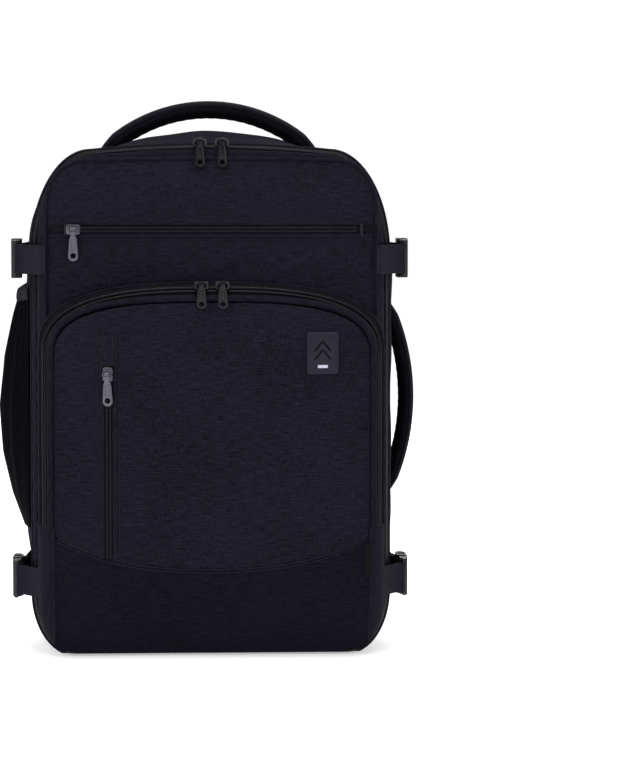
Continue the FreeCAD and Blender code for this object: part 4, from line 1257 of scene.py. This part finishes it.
x = -(
    0.1568 + (0.0040 + 0.0070 - 0.0006 * t) * bow**0.85 + 0.0010 * np.sin(math.pi * t)
    + 0.0005 * np.sin(s * 2 * math.pi * 30) * bow
)
hem = skin(
    "bottle_pocket_hem", np.stack([x, y[:, :1] + 0 * t, z], -1), webbing, "bag_body", thick=0.0018, slot="webbing"
)
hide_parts("mesh_pocket_hem")

# ---------------------------------------------------------------- compression straps
# 25 mm webbing sewn in at the back edge, laid along each side and looped through the buckles' ladder locks.
# Short straps of the same webbing hold the buckles' male halves to the front half's seam.

STRAP_HEIGHTS = {"lower": 0.064, "upper": 0.340}
UPRIGHT = (0, 0, 1.0)


def curve_through(points, count):
    """A smooth line through points: straight parts between them, blurred by a running mean."""
    points = np.asarray(points, float)
    run = travelled(points)
    at = np.linspace(0, run[-1], count)
    line = np.stack([np.interp(at, run, points[:, i]) for i in range(3)], 1)
    width = max(count // 14, 1)
    padded_line = np.vstack([np.repeat(line[:1], width, 0), line, np.repeat(line[-1:], width, 0)])
    kernel = np.ones(2 * width + 1) / (2 * width + 1)
    out = np.stack([np.convolve(padded_line[:, i], kernel, "valid") for i in range(3)], 1)
    return out[:count]


replaced = {"right": ["compression_straps_right"], "left": ["compression_straps_left"]}
for side, word in ((1, "right"), (-1, "left")):
    for level, height in STRAP_HEIGHTS.items():
        rear = [(0.1525, 0.0900), (0.1545, 0.0640)] if side < 0 else [(0.1545, 0.0612)]
        flat = rear + [
            (0.1590, 0.030), (0.1612, -0.008), (0.1608, -0.030), (0.1630, -0.0345), (0.1668, -0.0322),
            (0.1682, -0.0260), (0.1650, -0.0215), (0.1622, -0.0180), (0.1621, -0.005)
        ]
        route = [(side * x, y, height) for x, y in flat]
        body = "bag_body" if side > 0 else "laptop_door"
        strap = ribbon(
            f"compression_strap_{level}_{word}", curve_through(route, 150), UPRIGHT, webbing, body, thick=0.0014
        )
        if replaced[word]:
            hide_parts(*replaced[word])
            replaced[word] = []

# short straps from the front half's seam to the male buckles
for side, word in ((1, "right"), (-1, "left")):
    for level, height in STRAP_HEIGHTS.items():
        flat = [
            (0.1392, -0.1216), (0.1425, -0.1210), (0.1460, -0.1150), (0.1500, -0.1060), (0.1545, -0.0985),
            (0.1600, -0.0900), (0.1640, -0.0850), (0.1682, -0.0822), (0.1700, -0.0800), (0.1690, -0.0768),
            (0.1650, -0.0772), (0.1638, -0.0800), (0.1600, -0.0872)
        ]
        route = [(side * x, y, height) for x, y in flat]
        strap = ribbon(
            f"short_strap_{level}_{word}", curve_through(route, 110), UPRIGHT, webbing,
            "front_lid" if side > 0 else None, thick=0.0013
        )
        if side < 0:
            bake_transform(strap)
        if side < 0 and level == "lower":
            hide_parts("hinge_side_short_straps")
        if side > 0 and level == "lower":
            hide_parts("lid_short_straps")
        z = np.linspace(-0.010, 0.010, 12)
        at = (
            np.array((side * 0.1405, -0.1222, height)) + z[:, None] * np.array(UPRIGHT)
            + np.array((side * 0.0010, -0.0006, 0))
        )
        stitches(f"short_strap_stitch_{level}_{word}", at, (side * 0.85, -0.5, 0), "front_lid")

# ---------------------------------------------------------------- buckles and adjusters
# Acetal side-release buckles and ladder locks, moulded with soft edges and a fine satin grain.
# Each is the CAD solid's own shape with its edges rounded.

satin = {"Specular IOR Level": 0.28, "Coat Weight": 0.06, "Coat Roughness": 0.2}
acetal = speckled(
    "buckle_acetal", (
        0.0070, 0.0065, 0.0100
    ), 0.38, satin, (1500, 2), (0.8, 1.25), 0.25, wear=(60, 4), worn=(0.30, 0.48)
)


def softened(node, material, body, radius, segments=3):
    """A moulded or cast piece: the CAD solid's own mesh, merged, its flat faces joined and its edges rounded."""
    made = bpy.data.objects.new(node + "_made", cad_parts[node].data.copy())
    scene.collection.objects.link(made)
    clean = bmesh.new()
    clean.from_mesh(made.data)
    bmesh.ops.remove_doubles(clean, verts=clean.verts, dist=2e-6)
    bmesh.ops.dissolve_limit(clean, angle_limit=math.radians(4), verts=clean.verts, edges=clean.edges)
    bmesh.ops.recalc_face_normals(clean, faces=clean.faces)
    clean.to_mesh(made.data)
    clean.free()
    made.data.polygons.foreach_set("use_smooth", np.full(len(made.data.polygons), True))
    made.data.materials.clear()
    made.data.materials.append(material)
    edge_round = made.modifiers.new("round_edges", "BEVEL")
    edge_round.width, edge_round.segments, edge_round.limit_method = radius, segments, "ANGLE"
    edge_round.angle_limit = math.radians(32)
    edge_round.harden_normals = True
    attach(made, body)
    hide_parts(node)
    return made


for level in STRAP_HEIGHTS:
    for side in ("left", "right"):
        name = f"buckle_female_{level}_{side}"
        softened(name, acetal, name, 0.0009)
softened("lid_buckle_males", acetal, "front_lid", 0.0005, 2)
softened("hinge_side_buckle_males", acetal, "bag_body", 0.0005, 2)
for side in ("left", "right"):
    softened("shoulder_adjuster_" + side, acetal, "shoulder_strap_" + side, 0.0008)

# ---------------------------------------------------------------- zip sliders and pulls
# Die-cast sliders with long flat pulls, the CAD solid's own shape with its edges rounded.
# The two zips that show on the face, and those inside, have gunmetal plate; the others have black plate.

PLATE_GRAIN, PLATE_SHADES = (240, 4), (0.75, 1.25)
polished = {"Metallic": 1.0, "Coat Weight": 0.15, "Coat Roughness": 0.15}
gunmetal = speckled(
    "gunmetal", (0.078, 0.076, 0.090), 0.24, polished, PLATE_GRAIN, PLATE_SHADES, 0.12, worn=(0.18, 0.34)
)
dull = {"Specular IOR Level": 0.09, "Coat Weight": 0.02, "Coat Roughness": 0.1}
black_plate = speckled(
    "black_plate", (0.0032, 0.0031, 0.0042), 0.25, dull, PLATE_GRAIN, PLATE_SHADES, worn=(0.20, 0.36)
)

for runner in ("top_pocket", "main_left", "main_right", "pocket_left", "pocket_right", "vertical", "laptop"):
    finish = gunmetal if runner in ("top_pocket", "vertical") else black_plate
    softened(runner + "_slider", finish, runner + "_slider", 0.0005)
    softened(runner + "_pull", finish, runner + "_pull", 0.0004)
for runner in ("inner_mesh", "inner_pocket"):
    softened(runner + "_slider", gunmetal, runner + "_slider", 0.0004)

# ---------------------------------------------------------------- shoulder straps
# Foam pads under cloth, with spacer mesh towards the back and a bound edge, narrower towards their lower ends.
# Webbing from the bag's lower corners runs up through a ladder lock on each pad.

OUTER_LINE = np.array(
    [(0.0952, 0.431), (0.117, 0.402), (0.141, 0.340), (0.150, 0.287), (0.160, 0.200), (0.157, 0.133), (0.147, 0.066)]
)
INNER_LINE = np.array(
    [(0.0952, 0.419), (0.104, 0.392), (0.124, 0.335), (0.134, 0.285), (0.144, 0.200), (0.142, 0.133), (0.136, 0.068)]
)
PAD_NEAR = np.array(
    [(0.026, 0.440), (0.029, 0.400), (0.036, 0.330), (0.050, 0.250), (0.066, 0.160), (0.080, 0.100), (0.088, 0.060)]
)
PAD_FAR = np.array(
    [(0.074, 0.440), (0.086, 0.400), (0.099, 0.330), (0.115, 0.250), (0.125, 0.160), (0.122, 0.100), (0.119, 0.060)]
)


def smooth_line(table, z):
    """Value of a table's first column at height z, eased with a cubic through its points."""
    heights, values = table[::-1, 1], table[::-1, 0]
    slopes = np.gradient(values, heights)
    i = np.clip(np.searchsorted(heights, z) - 1, 0, len(heights) - 2)
    h = heights[i + 1] - heights[i]
    t = np.clip((z - heights[i]) / h, 0, 1)
    return (
        (2 * t**3 - 3 * t**2 + 1) * values[i]
        + (t**3 - 2 * t**2 + t) * h * slopes[i]
        + (-2 * t**3 + 3 * t**2) * values[i + 1]
        + (t**3 - t**2) * h * slopes[i + 1]
    )


def strap_pad(side, word):
    """A pillow section carried down the strap: its middle line and width come from four drawn lines."""
    n, m = 170, 44
    z = np.linspace(0.4240, 0.0675, n)
    y_out, y_in = smooth_line(OUTER_LINE, np.minimum(z, 0.431)), smooth_line(INNER_LINE, np.minimum(z, 0.419))
    near, far = smooth_line(PAD_NEAR, z), smooth_line(PAD_FAR, z)
    middle = np.stack([(near + far) / 2, (y_out + y_in) / 2, z], 1)
    ahead = unit(np.gradient(middle * (0, 1, 1), axis=0))
    out = np.stack([0 * z, -ahead[:, 2], ahead[:, 1]], 1)
    out = out * np.sign(out[:, 1:2])
    thick = np.clip((y_out - y_in) * np.abs(ahead[:, 2]) / 2, 0.0035, 0.0068) - 0.0010
    turn = np.linspace(0, 2 * math.pi, m, endpoint=False)
    c, s = np.cos(turn), np.sin(turn)
    flat = np.sign(c) * np.abs(c) ** 0.6
    puff = np.sign(s) * np.abs(s) ** 0.72
    half = (far - near) / 2
    stitch_line = 1 - 0.30 * np.exp(-(((np.abs(flat) - 0.80) / 0.07) ** 2))
    grid = (
        middle[:, None] + (half[:, None] * flat[None])[..., None] * np.array((1.0, 0, 0))
        + (thick[:, None] * (puff * stitch_line)[None])[..., None] * out[:, None]
    )
    grid = grid + out[:, None] * (folds(grid, 91, 0.05, 0.0006) * np.sign(s)[None])[..., None]
    grid = np.concatenate([grid, grid[:, :1]], 1) * np.array((side, 1, 1))
    name = "shoulder_strap_pad_" + word
    made = skin(
        name, grid, handle_cloth, "shoulder_strap_" + word, thick=0, middle=grid.mean((0, 1)), slot="padded_mesh_cloth"
    )
    closed_up(made)
    spots = rows_of(made.data.vertices, "co")
    row = np.argmin(np.abs(spots[:, 2:3] - z[None]), 1)
    across = np.abs(spots[:, 0] * side - middle[row, 0]) / half[row]
    blown(made, (across > 0.93) | (np.abs(across - 0.80) < 0.03) | (row < 3) | (row > n - 4), 0.0022)
    made.data.materials.append(spacer_mesh)
    towards_back = rows_of(made.data.polygons, "normal")[:, 1] < -0.25
    made.data.polygons.foreach_set("material_index", towards_back.astype(np.int32))
    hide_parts("shoulder_pad_" + word)
    for k, edge_word in ((-1, "near"), (1, "far")):
        path = (middle + np.array((1.0, 0, 0)) * (k * (half + 0.0006))[:, None]) * np.array((side, 1, 1))
        rope(
            f"{name}_binding_{edge_word}", path, 0.0026, binding_cloth, "shoulder_strap_" + word,
            squeeze=0.8, up=(0, 1.0, 0), tufts=0.02
        )
        line = (
            middle + out * (thick * 0.80 + 0.0003)[:, None] + np.array((1.0, 0, 0)) * (k * half * 0.80)[:, None]
        ) * np.array((side, 1, 1))
        stitches(
            f"{name}_stitch_{edge_word}", line[3:-3], (0, 1, 0), "shoulder_strap_" + word
        )
    x_mid = side * 0.1035
    route = [
        (x_mid, 0.1480, 0.118), (x_mid, 0.1500, 0.100), (x_mid, 0.1455, 0.074), (x_mid, 0.1440, 0.0620),
        (x_mid, 0.1405, 0.0585), (x_mid, 0.1375, 0.0610), (x_mid, 0.1370, 0.0690)
    ]
    ribbon(
        f"adjuster_loop_{word}", curve_through(route, 70), (1.0, 0, 0), webbing, "shoulder_strap_" + word, thick=0.0015
    )
    route = [
        (side * 0.1320, 0.0950, 0.052), (side * 0.1290, 0.1010, 0.0515), (side * 0.1180, 0.1180, 0.0500),
        (side * 0.1060, 0.1360, 0.0440), (side * 0.1035, 0.1400, 0.0410), (side * 0.1035, 0.1440, 0.0440),
        (side * 0.1035, 0.1440, 0.0500), (side * 0.1035, 0.1400, 0.0530), (side * 0.1035, 0.1350, 0.0480),
        (side * 0.1035, 0.1335, 0.0300), (side * 0.1040, 0.1330, 0.0120)
    ]
    line = curve_through(route, 130)
    turning = np.clip(np.linspace(0, 3.2, 130), 0, 1)[:, None]
    wide = unit((1 - turning) * np.array((0.15 * side, 0.2, 1.0)) + turning * np.array((1.0 * side, 0.0, 0.02)))
    web = ribbon(f"shoulder_web_{word}", line, wide, webbing, None, width=0.0235, thick=0.0014)
    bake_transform(web)
    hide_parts("shoulder_webbing_" + word)


strap_pad(1, "right")
strap_pad(-1, "left")

# webbing anchor wings at the lower corners, and the yoke where the pads join the back
for side, word in ((1, "right"), (-1, "left")):
    path = np.stack([side * np.linspace(0.1445, 0.1300, 30), np.full(30, 0.0948), np.linspace(0.050, 0.052, 30)], 1)
    ribbon(f"anchor_wing_{word}", path, UPRIGHT, binding_cloth, "laptop_door", width=0.034, thick=0.0024)
path = np.stack([np.linspace(-0.098, 0.098, 90), np.full(90, 0.0938), np.full(90, 0.4215)], 1)
ribbon("strap_yoke", path, UPRIGHT, handle_cloth, "laptop_door", width=0.016, thick=0.0030)
stitches("yoke_stitch", path + np.array((0, 0.0017, -0.0055)), (0, 1, 0), "laptop_door")
